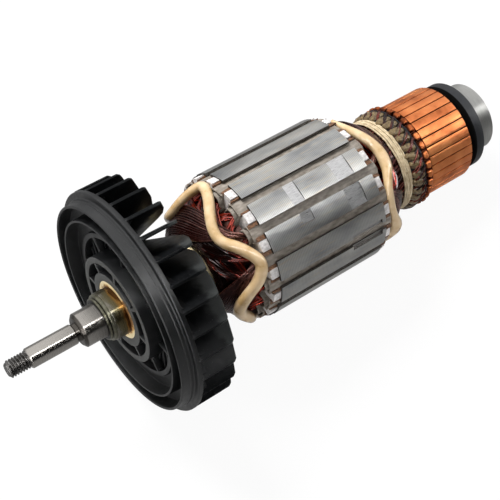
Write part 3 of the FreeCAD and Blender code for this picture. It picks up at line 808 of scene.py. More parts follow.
white_fibre = mottled("white_fibre", (0.38, 0.36, 0.35), (0.70, 0.675, 0.665), 1.1, rough=(0.6, 0.8))
slot_paper = mottled(
    "slot_paper", (0.11, 0.09, 0.07), (0.30, 0.27, 0.235), 0.9, rough=(0.45, 0.7), stretch=(0.4, 1, 1),
)
bits_brown = mottled("bits_brown", (0.035, 0.016, 0.009), (0.21, 0.11, 0.06), 1.6, rough=(0.6, 0.8))
cord_cream = mottled(
    "cord_cream", (0.47, 0.30, 0.125), (0.68, 0.515, 0.32), 0.22, rough=(0.25, 0.35),
    Coat_Weight=0.8, Coat_Roughness=0.08,
)
twine_khaki = mottled("twine_khaki", (0.36, 0.27, 0.16), (0.64, 0.54, 0.37), 0.7, relief=0.4)
resin_khaki = mottled(
    "resin_khaki", (0.035, 0.018, 0.007), (0.20, 0.145, 0.07), 1.3, rough=(0.25, 0.5), relief=0.8,
)
varnish_black = mottled(
    "varnish_black", (0.003, 0.003, 0.004), (0.012, 0.012, 0.014), 1.0, rough=(0.5, 0.7), relief=0.6,
    Specular_IOR_Level=0.25,
)
mica_dark = mottled(
    "mica_dark", (0.022, 0.006, 0.003), (0.05, 0.015, 0.008), 1.2, rough=(0.8, 0.9), Specular_IOR_Level=0.1,
)
# the hub's black, made darker still as painted shade for the gap between bars and dust ring
phenolic_and_shade = mottled("phenolic_and_shade", (0.002,) * 3, (0.004,) * 3, 1.0, rough=(0.6, 0.8), Specular_IOR_Level=0.05)
dust_black = mottled(
    "dust_black", (0.007, 0.008, 0.009), (0.014, 0.015, 0.018), 0.8, rough=(0.45, 0.55),
    Specular_IOR_Level=0.4,
)
round_marks = (6, 0.3, 0.3)
plain_steel = turned_sheen(mottled(
    "plain_steel", (0.48, 0.48, 0.465), (0.56, 0.555, 0.54), 1.0, 1.0, (0.40, 0.5), 0.0, round_marks,
))
bearing_ground = turned_sheen(mottled(
    "bearing_ground", (0.34, 0.34, 0.325), (0.48, 0.475, 0.46), 1.0, 0.75, (0.5, 0.6), 0.0, round_marks,
))
print("finishes so far:", len(bpy.data.materials))

# %% [markdown]
# ## Enamelled wire
# Copper wire in red-brown enamel is dark where it lies deep in varnish and glows red where it is bare
# of it. Three things steer the tone: a soft noise, the place of the wire, and a number that each wire
# carries, so neighbours differ. The place adds painted shade: wires darken on both sides of the shaft,
# away from the slot mouths towards the nose, and at the rear past the coil heads. The clear coat, which
# gives the small white glints, is weaker on both sides.

# %% Wire finish
def enamel(name, deep, glow, shift, coat, metallic, rough):
    """Enamelled wire, whose tone also follows the number that each wire carries."""
    material = finish(name, metallic, Coat_Roughness=0.05)
    spots = fade(material, noise(material, 0.45, 4.0), 0.3, 0.7, 0.42, 0.58)
    own = node(material, "ShaderNodeAttribute", attribute_name="tone").outputs["Fac"]
    own_shift = fade(material, own, 0.0, 1.0, shift - 0.28, shift + 0.24)
    place = along_shaft(material)
    # painted shade: darker away from the slot mouths, towards the nose and at the rear past x = 52
    front_end = fade(material, place, -13.0, -6.0, -0.3, 0.1)
    rear_end = fade(material, place, 52.0, 56.0, 0.1, -0.1)
    end_shade = maths(material, "MINIMUM", front_end, rear_end)
    height = maths(material, "ABSOLUTE", toward(material, (0, -0.17, 0.98)))
    # painted shade: darker on both sides of the shaft
    side_shade = fade(material, height, 13.0, 20.0, -0.10, 0.06)
    shade = maths(material, "ADD", own_shift, maths(material, "ADD", end_shade, side_shade))
    halfway = tuple(0.5 * (d + g) for d, g in zip(deep, glow))
    return wire_up(
        material,
        ramp(material, maths(material, "ADD", spots, shade), [(0.28, deep), (0.5, halfway), (0.78, glow)]),
        fade(material, spots, 0.42, 0.58, *rough),
        Coat_Weight=fade(material, height, 10.0, 18.0, 0.08 * coat, coat),
    )


wire_red = enamel("wire_red", (0.014, 0.003, 0.002), (0.40, 0.036, 0.016), 0.03, 1.0, 0.75, (0.14, 0.24))
wire_lead = enamel("wire_lead", (0.014, 0.003, 0.002), (0.24, 0.030, 0.014), 0.0, 0.4, 0.6, (0.22, 0.34))
wire_dark = enamel("wire_dark", (0.032, 0.006, 0.004), (0.23, 0.105, 0.085), 0.06, 0.25, 0.7, (0.2, 0.34))
print("wire finishes:", wire_red.name, wire_lead.name, wire_dark.name)

# %% [markdown]
# ## Tubes along a route
# Wires, strands and cords are all tubes, and a NURBS curve with a round bevel draws them best: a few
# control points give a smooth sweep, and each point may carry its own thickness. Many wires go into one
# curve, one spline each, because one object with hundreds of wires is lighter than hundreds of objects.

# %% Tool for tubes
def tubes(name, routes, radius, sides=1, steps=3, swell=None):
    """Round tubes along routes, each carrying its own tone; swell is each point's share of the radius."""
    bpy.ops.object.select_all(action="DESELECT")
    bpy.ops.curve.primitive_nurbs_path_add()
    made = fresh(name)
    curve = made.data
    curve.splines.clear()
    for route in routes:
        spline = curve.splines.new("NURBS")
        spline.points.add(len(route) - 1)
        for i, (point, place) in enumerate(zip(spline.points, route)):
            point.co = (*place, 1)
            point.radius = swell[i] if swell else 1.0
        spline.order_u = 3
        spline.use_endpoint_u = True
        spline.resolution_u = steps
    curve.dimensions = "3D"
    curve.bevel_depth = radius
    curve.bevel_resolution = sides
    curve.use_fill_caps = True
    only(made)
    bpy.ops.object.convert(target="MESH")
    made = fresh(name)
    points = len(made.data.vertices)
    share = points // len(routes)
    tones = [chance.random() for _ in routes]
    carried = made.data.attributes.new("tone", "FLOAT", "POINT")
    carried.data.foreach_set("value", [tones[min(i // share, len(routes) - 1)] for i in range(points)])
    return smooth(made, 60)


def tinted(made, value):
    """Gives every point of a part the same tone."""
    carried = made.data.attributes.get("tone") or made.data.attributes.new("tone", "FLOAT", "POINT")
    carried.data.foreach_set("value", [value] * len(made.data.vertices))
    return made


# %% [markdown]
# ## The coil heads
# A coil leaves one slot, bends over the end of the core and dives into the slot seven places on. Its
# wires are a twisted bundle at the slot and a flat ribbon over the shaft. Coils are wound in pairs, one
# on each side of the shaft, and each pair lies on those before it, so the last pair shows from end to
# end. A formula draws this better than hand-placed curves could: one share runs along the wire, and
# the bundle, the ribbon and the depth in the pile are blended by it.

# %% Routes of the coils
wire_r, wires_per_coil, coil_span, coil_steps, layer_step = 0.35, 14, 7, 20, 0.5
bundle_middle_r, bundle_r = 20.2, 2.5
front_dome = [(-4.5, 23.8), (-8.1, 22.3), (-10.9, 20.2), (-14.0, 18.2), (-17.2, 16.0), (-18.2, 13.0)]
rear_dome = [(49.0, 23.8), (52.5, 22.9), (56.0, 21.0), (59.0, 18.8), (61.0, 17.0), (62.6, 15.0)]


def on_dome(dome, share, depth):
    """Place on the coil heads' outline, a share of the way from the slots, at a depth under it."""
    spot = min(max(share, 0.0), 0.9999) * (len(dome) - 1)
    i = int(spot)
    here, there = Vector(dome[i]), Vector(dome[i + 1])
    way = (there - here).normalized()
    inward = Vector((way.y, -way.x)) if way.x < 0 else Vector((-way.y, way.x))
    if inward.y > 0:
        inward = -inward
    place = here.lerp(there, spot - i) + inward * depth
    return place.x, place.y


def coil_wire(dome, mouth_x, start, number, depth):
    """Route of one wire of a coil, from its slot to the slot seven places on."""
    share = number / (wires_per_coil - 1)
    reach = 1.0 - 0.6 * share
    off, turn_on = bundle_r * math.sqrt((number + 0.5) / wires_per_coil), 2.4 * number
    stray = chance.uniform(-0.004, 0.004)
    route = []
    for step in range(coil_steps + 1):
        along = step / coil_steps
        edge = abs(2 * along - 1)
        swing = along - 0.5 * math.sin(2 * math.pi * along) / (2 * math.pi)
        x, r = on_dome(dome, reach * (1 - edge ** 2.4) + stray, depth)
        gather, inside = edge ** 7, edge ** 14
        twist = turn_on + 5.0 * (1 - edge)
        r = r + (bundle_middle_r + 1.25 * off * math.sin(twist) - r) * gather
        x = x + (mouth_x - x) * inside
        lean = math.degrees(0.9 * off * math.cos(twist) * gather / r)
        route.append(at(x, r, start + coil_span * slot_step * swing + lean))
    return route


def coil_heads(dome, mouth_x, top):
    """Routes of all the wires on one end of the core, in pairs of coils from the last wound down."""
    last_start = slot_phase - 6 * slot_step
    pairs = []
    for under in range(slot_count // 2):
        depth = wire_r + under * layer_step - top
        starts = [last_start + under * slot_step + half for half in (0, 180)]
        pairs.append([coil_wire(dome, mouth_x, s, n, depth) for s in starts for n in range(wires_per_coil)])
    return pairs


front_coils = coil_heads(front_dome, -1.5, 0.3)
rear_coils = coil_heads(rear_dome, core_length + 1.5, 0.5)
print("wires on each end:", sum(len(pair) for pair in front_coils))

# %% [markdown]
# ## Winding both ends
# The routes become tubes in three layers, because the pair wound last lies in dark varnish and those
# below it show bare red. A plain turned core fills the space under the wires, where a real winding is a
# solid mass of copper, and its low tone is painted shade. Both ends are built alike, so one loop winds
# them.

# %% Wind both ends
front_fill = [(x + 3.4, r - 3.4) for x, r in front_dome[:5]] + [(-14.0, tube_r), (0.0, tube_r)]
rear_fill = [(x - 1.5, r - 2.6) for x, r in rear_dome[:4]]
rear_fill += [(neck_front, 16.6), (neck_rear, 16.8), (neck_rear, tube_r), (core_length, tube_r)]
for end, coils, fill in (("front", front_coils, front_fill), ("rear", rear_coils, rear_fill)):
    # painted shade: the core under the wires takes a low, dark tone
    filled = tinted(paint(smooth(lathe(end + "_core", fill, 48)), wire_dark), 0.1)
    for layer, pairs, enamelled, stands_for in (
        ("last", coils[:1], wire_dark, [end + "_winding"]), ("next", coils[1:4], wire_red, []),
        ("first", coils[4:], wire_red, []),
    ):
        wires = tubes(end + "_coils_" + layer, [wire for pair in pairs for wire in pair], wire_r)
        lay_down(paint(wires, enamelled), "rotor", "magnet_wire", *stands_for)
        print(wires.name, "faces:", len(wires.data.polygons))
    lay_down(filled, "rotor", "magnet_wire")

# %% [markdown]
# ## Paper in the slots and fibre on the ends
# The liners and wedges are folded paper, the end plates are stamped fibre. The frame has their shapes,
# and a merged copy with broken edges is all they need. Paper edges are broken less than fibre edges.

# %% Liners, wedges and end plates
for name, slot, material, edge in (
    ("slot_liners", "slot_paper", slot_paper, 0.06), ("slot_wedges", "slot_paper", slot_paper, 0.14),
    ("front_end_plate", "end_plate", white_fibre, 0.22), ("rear_end_plate", "end_plate", white_fibre, 0.22),
):
    made = soften(clean_copy(name + "_soft", name), edge, 2, 25)
    lay_down(paint(made, material), "rotor", slot, name)
    print(made.name, "faces:", len(made.data.polygons))

# %% [markdown]
# ## Paper cuffs
# Each liner is a folded tube that stands out of its slot, so the wires leave it through a rounded mouth.
# A rounded outline is extruded along the shaft and given a wall by the Solidify modifier. The outline
# is a circle whose sine and cosine are raised to a power below one, which squares it off a little.

# %% Cuffs
cuff_corners, cuff_wide, cuff_tall, cuff_r, squareness = 20, 2.75, 3.75, 20.6, 0.75


def cuff_ring(name, front, rear):
    """Sixteen rounded paper tubes, one in each slot's mouth."""
    outline = []
    for i in range(cuff_corners):
        turn = 2 * math.pi * i / cuff_corners
        wide = math.copysign(abs(math.sin(turn)) ** squareness, math.sin(turn))
        tall = math.copysign(abs(math.cos(turn)) ** squareness, math.cos(turn))
        outline.append((front, cuff_wide * wide, cuff_r + cuff_tall * tall))
    tube = trace(name, outline)
    bpy.ops.object.mode_set(mode="EDIT")
    bpy.ops.mesh.select_all(action="SELECT")
    bpy.ops.mesh.delete(type="ONLY_FACE")
    bpy.ops.mesh.select_all(action="SELECT")
    bpy.ops.mesh.extrude_region_move(TRANSFORM_OT_translate={"value": (rear - front, 0, 0)})
    bpy.ops.object.mode_set(mode="OBJECT")
    modify(tidy_shell(tube), "SOLIDIFY", thickness=0.35, offset=0)
    return ring_of(name, smooth(tube, 50), slot_count, slot_phase)


cuffs = join("slot_cuffs", [cuff_ring("front_cuffs", -4.9, -1.0), cuff_ring("rear_cuffs", 46.0, 49.4)])
lay_down(paint(cuffs, slot_paper), "rotor", "slot_paper")
print("cuffs:", 2 * slot_count)

# %% [markdown]
# ## Torn bits of backing paper
# Beside every white tab a little brown paper sticks out, torn off unevenly when the plates were
# pressed on. Each bit is a thin plate whose corners, width and depth are drawn by chance, so no two are
# alike, and a fixed seed makes them fall the same way every time.

# %% Torn bits
bit_r, bit_length, front_bit_x, rear_bit_x = 26.2, 3.2, -3.3, 48.0
bits = []
for i in range(slot_count):
    for x, way in ((front_bit_x, 1), (rear_bit_x, -1)):
        for side in (-1, 1):
            turn = slot_phase + slot_step * i + side * chance.uniform(5.0, 6.6)
            half, deep = chance.uniform(0.35, 0.8), chance.uniform(0.8, 1.9)
            bit = slab("bit", [
                (x + chance.uniform(-0.5, 0.3) * way, -half, bit_r + 0.1 - chance.uniform(0, 0.5)),
                (x + bit_length * way, -half, bit_r),
                (x + bit_length * way, half, bit_r),
                (x + chance.uniform(-0.2, 0.5) * way, half, bit_r - chance.uniform(0, 0.7)),
            ], (0, 0, -deep))
            bits.append(turned_copy(bit, turn))
            bpy.data.objects.remove(bit)
torn = join("torn_bits", bits)
lay_down(paint(torn, bits_brown), "rotor", "slot_paper")
print("torn bits:", len(bits))

# %% [markdown]
# ## The lacing cords
# A waxed cord is laced round each set of coil heads, up between the slots and down over the wires. It is
# held all the way round, so its route is the frame's own route, written as place along the shaft,
# radius and angle. A plain circle would miss what makes it look tied: the cord swells where it is
# slack, thins where it is pressed down, and the rear one starts and ends in a thin tail.

# %% Lacing cords
front_cord_route = [
    (-12.1, 20.9, -178), (-9.0, 23.0, -160), (-5.4, 25.0, -143), (-4.6, 25.4, -130), (-7.4, 24.1, -115),
    (-11.2, 21.8, -100), (-13.8, 19.8, -84), (-14.7, 19.1, -71), (-12.4, 21.1, -59), (-8.6, 23.3, -50.5),
    (-3.9, 25.6, -40), (-7.1, 24.3, -23), (-10.0, 22.6, -12.5), (-12.4, 20.9, 1.6), (-12.2, 21.1, 14),
    (-9.0, 23.2, 24), (-5.9, 24.9, 34.9), (-4.3, 25.5, 44), (-6.6, 24.6, 56), (-10.2, 22.5, 67.5),
    (-12.6, 20.9, 83), (-12.4, 21.2, 96), (-7.6, 24.2, 110), (-4.5, 25.3, 126), (-4.6, 25.2, 140),
    (-5.4, 24.9, 155), (-8.6, 23.2, 169), (-12.0, 21.0, 179),
]
rear_cord_route = [
    (3.9, 25.2, -35), (4.4, 25.4, -17), (6.6, 24.7, -5.5), (8.5, 24.0, 4.4), (9.1, 23.7, 15.3),
    (8.4, 24.1, 25.2), (6.5, 24.8, 33.0), (5.0, 25.3, 40), (4.4, 25.3, 48.5), (4.4, 25.3, 57),
    (5.9, 24.7, 69), (8.2, 23.6, 84), (7.6, 23.4, 100), (6.6, 23.3, 116), (7.4, 23.0, 133),
    (8.6, 22.6, 150), (7.6, 22.9, 167), (6.8, 23.1, 184), (8.0, 22.8, 201), (8.6, 22.6, 218),
    (7.2, 23.3, 236), (6.4, 23.7, 253), (7.4, 23.3, 270), (8.0, 22.9, 286), (7.2, 22.8, 301),
]
front_swell = [1.0 + chance.uniform(-0.05, 0.05) for _ in front_cord_route]
front_swell[6:10] = [0.9, 0.9, 0.8, 0.9]
front_swell[15:22] = [1.08, 1.05, 1.16, 1.08, 1.05, 1.2, 1.2]
rear_swell = [1.0 + chance.uniform(-0.07, 0.07) for _ in rear_cord_route]
rear_swell[:2] = [0.45, 0.8]
rear_swell[3:13] = [1.05, 1.22, 1.18, 0.95, 0.84, 0.9, 0.8, 0.82, 1.6, 1.1]
rear_swell[-3:] = [0.85, 0.7, 0.5]
for end, face, route, cord_r, swell in (
    ("front", 0.0, front_cord_route, 1.9, front_swell),
    ("rear", core_length, rear_cord_route, 1.75, rear_swell),
):
    cord = tubes(end + "_cord", [[at(face + x, r, a) for x, r, a in route]], cord_r, 5, 8, swell)
    lay_down(paint(cord, cord_cream), "rotor", "lacing_cord", end + "_lacing_cord")
    print(cord.name, "faces:", len(cord.data.polygons))

# %% [markdown]
# ## Twine round the neck
# Behind the coil heads the leads are bound with a few turns of twine, pulled tight and a little uneven.
# Each turn is one closed strand whose points wander slightly, and every second strand lies a touch
# higher, as turns do that were wound over each other.

# %% Twine
strand_count, strand_pitch, strand_r, twine_middle, neck_r = 5, 0.78, 0.345, 64.2, 17.0
strands = []
for i in range(strand_count):
    x = twine_middle + (i - (strand_count - 1) / 2) * strand_pitch
    lie = neck_r + 0.42 + 0.14 * (i % 2)
    loop = [at(x + chance.uniform(-0.09, 0.09), lie + chance.uniform(-0.05, 0.08), 15 * a) for a in range(24)]
    strands.append(loop + loop[:1])
twine = tubes("twine", strands, strand_r, 3, 4)
lay_down(paint(twine, twine_khaki), "rotor", "twine", "twine_binding")
print("strands:", strand_count)

# %% [markdown]
# ## Resin between the leads
# From the twine the leads run up a short cone to the commutator. Resin fills the space between them and
# stands up in a row of khaki lumps, one for each bar. A lump starts as a ball, is drawn out long and
# flat, turned along the leads, and copied with a little chance in its place. The cone under them is
# black with varnish.

# %% Lumps and cone
bar_count, bar_phase = 32, -19.92
bar_step = 360.0 / bar_count
bpy.ops.object.select_all(action="DESELECT")
bpy.ops.mesh.primitive_uv_sphere_add(segments=16, ring_count=10, radius=1.0)
lump = fresh("lump")
bpy.ops.object.mode_set(mode="EDIT")
bpy.ops.mesh.select_all(action="SELECT")
bpy.ops.transform.resize(value=(2.95, 1.8, 1.3))
bpy.ops.transform.rotate(value=math.radians(24), orient_axis="Z", center_override=(0, 0, 0))
bpy.ops.transform.rotate(value=math.radians(10), orient_axis="Y", center_override=(0, 0, 0))
bpy.ops.transform.translate(value=(68.3, 0, 17.75))
bpy.ops.object.mode_set(mode="OBJECT")
smooth(lump, 60)
lumps = []
for i in range(bar_count):
    copy = turned_copy(lump, bar_phase + (i + 0.5) * bar_step + chance.uniform(-1.2, 1.2))
    copy.data.transform(Matrix.Translation((chance.uniform(-0.35, 0.35), 0, 0)))
    lumps.append(copy)
bpy.data.objects.remove(lump)
lumps = paint(join("lumps", lumps), resin_khaki)
cone = lathe("lead_cone", [
    (66.0, tube_r), (66.0, 17.1), (68.2, 18.0), (70.3, 18.2), (72.1, 17.8), (72.1, 12.0),
    (tube_rear, 12.0), (tube_rear, tube_r),
], 96)
lead_base = join("lead_base", [lumps, paint(smooth(cone), varnish_black)])
lay_down(lead_base, "rotor", "leads", "lead_wires")
print("resin lumps:", bar_count)

# %% [markdown]
# ## Lead wires
# Two wires go to every bar. They come from under the twine, slant round the shaft in the grooves between
# the lumps, and end under the bar's hook. One list of places and angles serves them all; chance moves
# each a little, so the grooves don't look combed.

# %% Lead wires
lead_slant = 14.0
lead_routes = []
for i in range(bar_count):
    for twin in (-1.2, 1.2):
        end = bar_phase + i * bar_step
        lead_routes.append([
            at(56.5, 17.2, end + lead_slant + 16 + 3 * twin), at(60.2, 17.0, end + lead_slant + 9 + 2 * twin),
            at(64.8, 16.6, end + lead_slant + 4 + twin),
            at(66.4, 17.5, end + lead_slant + twin + chance.uniform(-1.5, 1.5)),
            at(
                68.2, 18.95 + chance.uniform(-0.2, 0.35),
                end + 0.62 * lead_slant + twin * 1.3 + chance.uniform(-1.5, 1.5),
            ),
            at(70.2, 18.9, end + 0.25 * lead_slant + twin * 0.8),
            at(71.4, 18.4, end + twin * 0.6), at(73.6, 18.2, end),
        ])
leads = tubes("lead_wires_fine", lead_routes, 0.33, 1, 4)
lay_down(paint(leads, wire_lead), "rotor", "magnet_wire")
print("lead wires:", len(lead_routes))

# %% [markdown]
# ## A line of dark varnish
# Just before the hooks the varnish that ran off the leads dried as a thin uneven line. It is one more
# closed tube, whose place and thickness change from point to point.

# %% Varnish line
line_x, line_r, line_points = 71.2, 18.3, 64
line_route = []
for i in range(line_points):
    place = line_x + chance.uniform(-0.3, 0.3)
    line_route.append(at(place, line_r + chance.uniform(-0.2, 0.3), 360.0 / line_points * i))
line_swell = [chance.uniform(0.6, 1.5) for _ in line_route]
varnish_ring = tubes("varnish_ring", [line_route + line_route[:1]], 0.42, 3, 3, line_swell + line_swell[:1])
lay_down(paint(varnish_ring, varnish_black), "rotor", "leads")
print("varnish line points:", line_points)

# %% [markdown]
# ## Copper
# The bars' tops are polished by brushes, some more than others, so each bar carries its own tone and a
# broad tarnish wanders over all of them. What lies below the tops is painted dark as shade: the walls of
# the gaps, and the sooty strip with the hooks, darkened further as painted shade, where only the top of
# each bead is left bright as a painted highlight. Radius and place along the shaft tell them apart, so
# one finish does for the whole bar.

# %% Copper finish
copper_bar = turned_sheen(finish("copper_bar", 0.9), 0.6)
fine = noise(copper_bar, 1.0, 5.0, (0.5, 5.0, 5.0))
tarnish = noise(copper_bar, 0.22, 3.0, (0.6, 0.5, 0.5))
own_tone = node(copper_bar, "ShaderNodeAttribute", attribute_name="tone").outputs["Fac"]
place, radius = along_shaft(copper_bar), off_axis(copper_bar)
# painted highlight: the top of each bead is left bright
bead_highlight = maths(
    copper_bar, "MULTIPLY", fade(copper_bar, radius, 18.55, 19.1, 0.0, 0.72),
    fade(copper_bar, place, 74.1, 74.45, 1.0, 0.0),
)
# soot and painted shade: the strip in front of the bar faces is darkened
soot_and_shade = fade(copper_bar, place, 74.9, 75.1, -0.9, 0.0)
sooty_and_shaded = maths(copper_bar, "MINIMUM", 0.0, maths(copper_bar, "ADD", soot_and_shade, bead_highlight))
# painted shade: the walls of the gaps between bars are darkened
gap_shade = fade(copper_bar, radius, 17.5, 17.95, -0.7, 0.0)
own_shade = maths(copper_bar, "ADD", fade(copper_bar, own_tone, 0, 1, 0.0, 0.4), gap_shade)
shade = maths(copper_bar, "ADD", own_shade, sooty_and_shaded)
tone = maths(copper_bar, "ADD", fade(copper_bar, tarnish, 0.35, 0.65, 0.05, 0.6), shade)
wire_up(
    copper_bar, ramp(copper_bar, tone, [
        (0.0, (0.10, 0.025, 0.01)), (0.2, (0.40, 0.105, 0.033)),
        (0.5, (0.70, 0.225, 0.077)), (0.9, (0.84, 0.32, 0.115)),
    ]),
    fade(copper_bar, fine, 0.3, 0.7, 0.48, 0.58), bump(copper_bar, fine, 0.06, 0.03),
)
print("copper finish:", copper_bar.name)

# %% [markdown]
# ## Bars and hooks
# Thirty-two copper bars stand round a moulded hub, with mica between them. A bar is a sector with a
# lower step in front, the riser, and its hook is a strip folded over the lead, which from above is a
# round bead. One bar is modelled and copied, and each copy gets its own tone. The gap between two bars
# keeps its width down to the hub, so a bar's sides are not quite radial.

# %% Bars and hooks
bar_low_r, mica_half = 13.0, 0.2
half_low = math.asin(math.sin(math.radians(bar_step / 2)) - mica_half / bar_low_r)
half_high = math.radians(bar_step / 2) - math.asin(mica_half / bar_r)


def bar_piece(name, front, rear, top_r):
    """A copper sector between two mica walls."""
    corners = [(front, s * bar_low_r * math.sin(half_low), bar_low_r * math.cos(half_low)) for s in (-1, 1)]
    for s in (3, 1, -1, -3):
        corners.append((front, top_r * math.sin(half_high * s / 3), top_r * math.cos(half_high * s / 3)))
    return soften(slab(name, corners, (rear - front, 0, 0)), 0.14, 2)


bar = join("bar", [
    bar_piece("bar_face", bar_face, bar_rear, bar_r),
    bar_piece("bar_riser", bar_front, bar_face + 0.2, bar_r - 0.6),
])
hook_side = [
    (72.0, 17.2), (72.0, 18.3), (72.4, 19.0), (73.0, 19.45),
    (73.5, 19.45), (74.1, 19.0), (74.5, 18.3), (74.5, 17.2),
]
hook_half = 1.4
hook = slab("hook", [(x, -hook_half, r) for x, r in hook_side], (0, 2 * hook_half, 0))
smooth(soften(hook, 1.25, 5, 60), 80)
one_bar = join("one_bar", [bar, hook])
copies = [tinted(turned_copy(one_bar, bar_phase + bar_step * i), chance.random()) for i in range(bar_count)]
bpy.data.objects.remove(one_bar)
bars = join("bars_copper", copies)
lay_down(paint(bars, copper_bar), "rotor", "copper", "commutator_bars")
print("bars:", bar_count, "faces:", len(bars.data.polygons))

# %% [markdown]
# ## Mica, hub and bush
# The mica is cut back below the copper, so all that shows of it is the bottom of each gap: one dark ring
# under the bars is enough. The hub is a black moulding with a collar behind the bars, and a steel bush
# inside it takes the shaft. All three are turned.

# %% Mica, hub and bush
mica_r, hub_rear, bush_r = 17.3, 96.3, 7.6
mica = lathe("mica_ring", [
    (bar_front + 0.1, 13.2), (bar_front + 0.1, mica_r), (bar_rear - 0.1, mica_r), (bar_rear - 0.1, 13.2),
], 96)
lay_down(paint(smooth(mica), mica_dark), "rotor", "mica", "commutator_mica")
hub = lathe("hub_moulding", [
    (bar_front, bush_r + 0.1), (bar_front, 13.3), (bar_rear - 0.2, 13.3), (bar_rear - 0.2, 15.6),
    (hub_rear, 15.6), (hub_rear, bush_r + 0.1),
], 96)
# painted shade: the hub's neck between bars and dust ring is painted near-black
lay_down(paint(soften(hub, 0.3), phenolic_and_shade), "rotor", "moulding", "commutator_core")
bush = lathe("bush_turned", [
    (bar_front, seat_r + 0.02), (bar_front, bush_r), (ring_front, bush_r), (ring_front, seat_r + 0.02),
], 64)
lay_down(paint(soften(bush, 0.2), plain_steel), "rotor", "bush_steel", "commutator_bush")
print("turned pieces in the commutator: 3")

# %% [markdown]
# ## The dust ring
# A rubber ring between commutator and bearing keeps carbon dust out of the grease. Its rim is very
# dark grey, and its front, which lies in the shade of the bars, is painted nearly black as shade. So the
# front faces are found by their place and get the hub's blacker finish.

# %% The dust ring
ring_r, front_chamfer = 16.75, 0.85
dust = lathe("dust_ring_turned", [
    (ring_front, seat_r + 0.02), (ring_front, 15.2), (ring_front + 0.7, 16.5),
    (ring_front + front_chamfer, ring_r),
    (ring_rear - 0.1, ring_r), (ring_rear, ring_r - 0.15), (ring_rear, seat_r + 0.02),
], 128)
paint(soften(dust, 0.08, 2), dust_black, phenolic_and_shade)
# painted shade: the dust ring's front faces take the blacker finish
for face in dust.data.polygons:
    if face.center.x < ring_front + front_chamfer - 0.01:
        face.material_index = 1
lay_down(dust, "rotor", "rubber_black", "dust_ring")
print("dust ring faces:", len(dust.data.polygons))

# %% [markdown]
# ## Wires in the slots
# Two coil sides fill each slot, one over the other, hidden by the wedges. One slot's straight wires are
# laid side by side, row upon row, as many in a row as its walls leave room for, and the other fifteen
# slots get copies.

# %% Slot wires
slot_rows, first_row_r, pack, wall_off, end_over = 11, 16.9, 0.72, 2.25, 0.8
slot_routes, stations = [], (-end_over, 0.5 * core_length, core_length + end_over)
for row in range(slot_rows):
    row_r = first_row_r + row * pack * 0.9
    room = 2 * (row_r * math.tan(math.radians(slot_step / 2)) - wall_off - wire_r)
    columns = 1 + int(room / pack)
    for column in range(columns):
        aside = (column - (columns - 1) / 2) * pack
        slot_routes.append([(x, aside, row_r) for x in stations])
one_slot = tubes("slot_wires_one", slot_routes, wire_r, 1, 1)
slot_wires = ring_of("slot_wires", one_slot, slot_count, slot_phase)
lay_down(paint(slot_wires, wire_dark), "rotor", "magnet_wire", "slot_windings")
print("wires in each slot:", len(slot_routes))

# %% [markdown]
# ## The end bearing's rings
# The inner ring is pressed on the shaft and turns with it. The outer ring turns on the balls, so it is a
# piece of its own that rides on another body. Both are turned, and a groove on either side of the outer
# ring takes a shield.

# %% Bearing rings
outer_r, shield_r, race_r, inner_ring_r, groove = 13.0, 11.45, 10.95, 7.3, 0.6
outer = lathe("outer_ring_ground", [
    (bearing_front, shield_r), (bearing_front, outer_r), (bearing_rear, outer_r), (bearing_rear, shield_r),
    (bearing_rear - groove, shield_r), (bearing_rear - groove, race_r),
    (bearing_front + groove, race_r), (bearing_front + groove, shield_r),
], 128)
paint(soften(outer, 0.4, 3), bearing_ground)
lay_down(outer, "bearing_race", "bearing_steel", "bearing_outer_ring")
inner = lathe("inner_ring_ground", [
    (bearing_front, bore_r), (bearing_front, inner_ring_r),
    (bearing_rear, inner_ring_r), (bearing_rear, bore_r),
], 96)
paint(soften(inner, 0.3, 3), plain_steel)
lay_down(inner, "rotor", "bearing_steel", "bearing_inner_ring")
print("outer ring faces:", len(outer.data.polygons))

# %% [markdown]
# ## Shields, balls and cage
# A pressed shield closes each side, a little below the ring's face, and turns with the outer ring. The
# two are one section, drawn for either side by the sign of its way in. Balls and cage hide behind them,
# so the frame's own meshes stay and only get their steel.

# %% Shields, balls and cage
shield_section = [
    (0.0, 11.4), (0.0, 10.6), (0.12, 10.2), (0.12, 8.3), (0.0, 7.9), (0.0, 7.7),
    (0.3, 7.7), (0.4, 8.3), (0.4, 10.2), (0.3, 10.6), (0.3, 11.4),
]
for side, x, way in (("front", bearing_front + 0.25, 1), ("rear", bearing_rear - 0.25, -1)):
    name = "bearing_" + side + "_shield"
    shield = lathe(name + "_pressed", [(x + deep * way, r) for deep, r in shield_section], 96)
    lay_down(paint(smooth(shield, 30), plain_steel), "bearing_race", "bearing_steel", name)
for name in ("bearing_balls", "bearing_cage"):
    paint(frame["nodes"][name], plain_steel)
print("shields: 2; balls and cage keep the frame's meshes")

# %% [markdown]
# ## The floor
# The photograph was taken from above on white paper, so the floor is a pale sheet that keeps a soft
# shadow. Lit only by the lamps it would look grey, so for the camera it mostly glows by itself. For
# reflections it is much darker, because polished steel in a studio mirrors dim surroundings as well as
# bright ones. Mix shaders that ask what kind of ray has arrived do both.

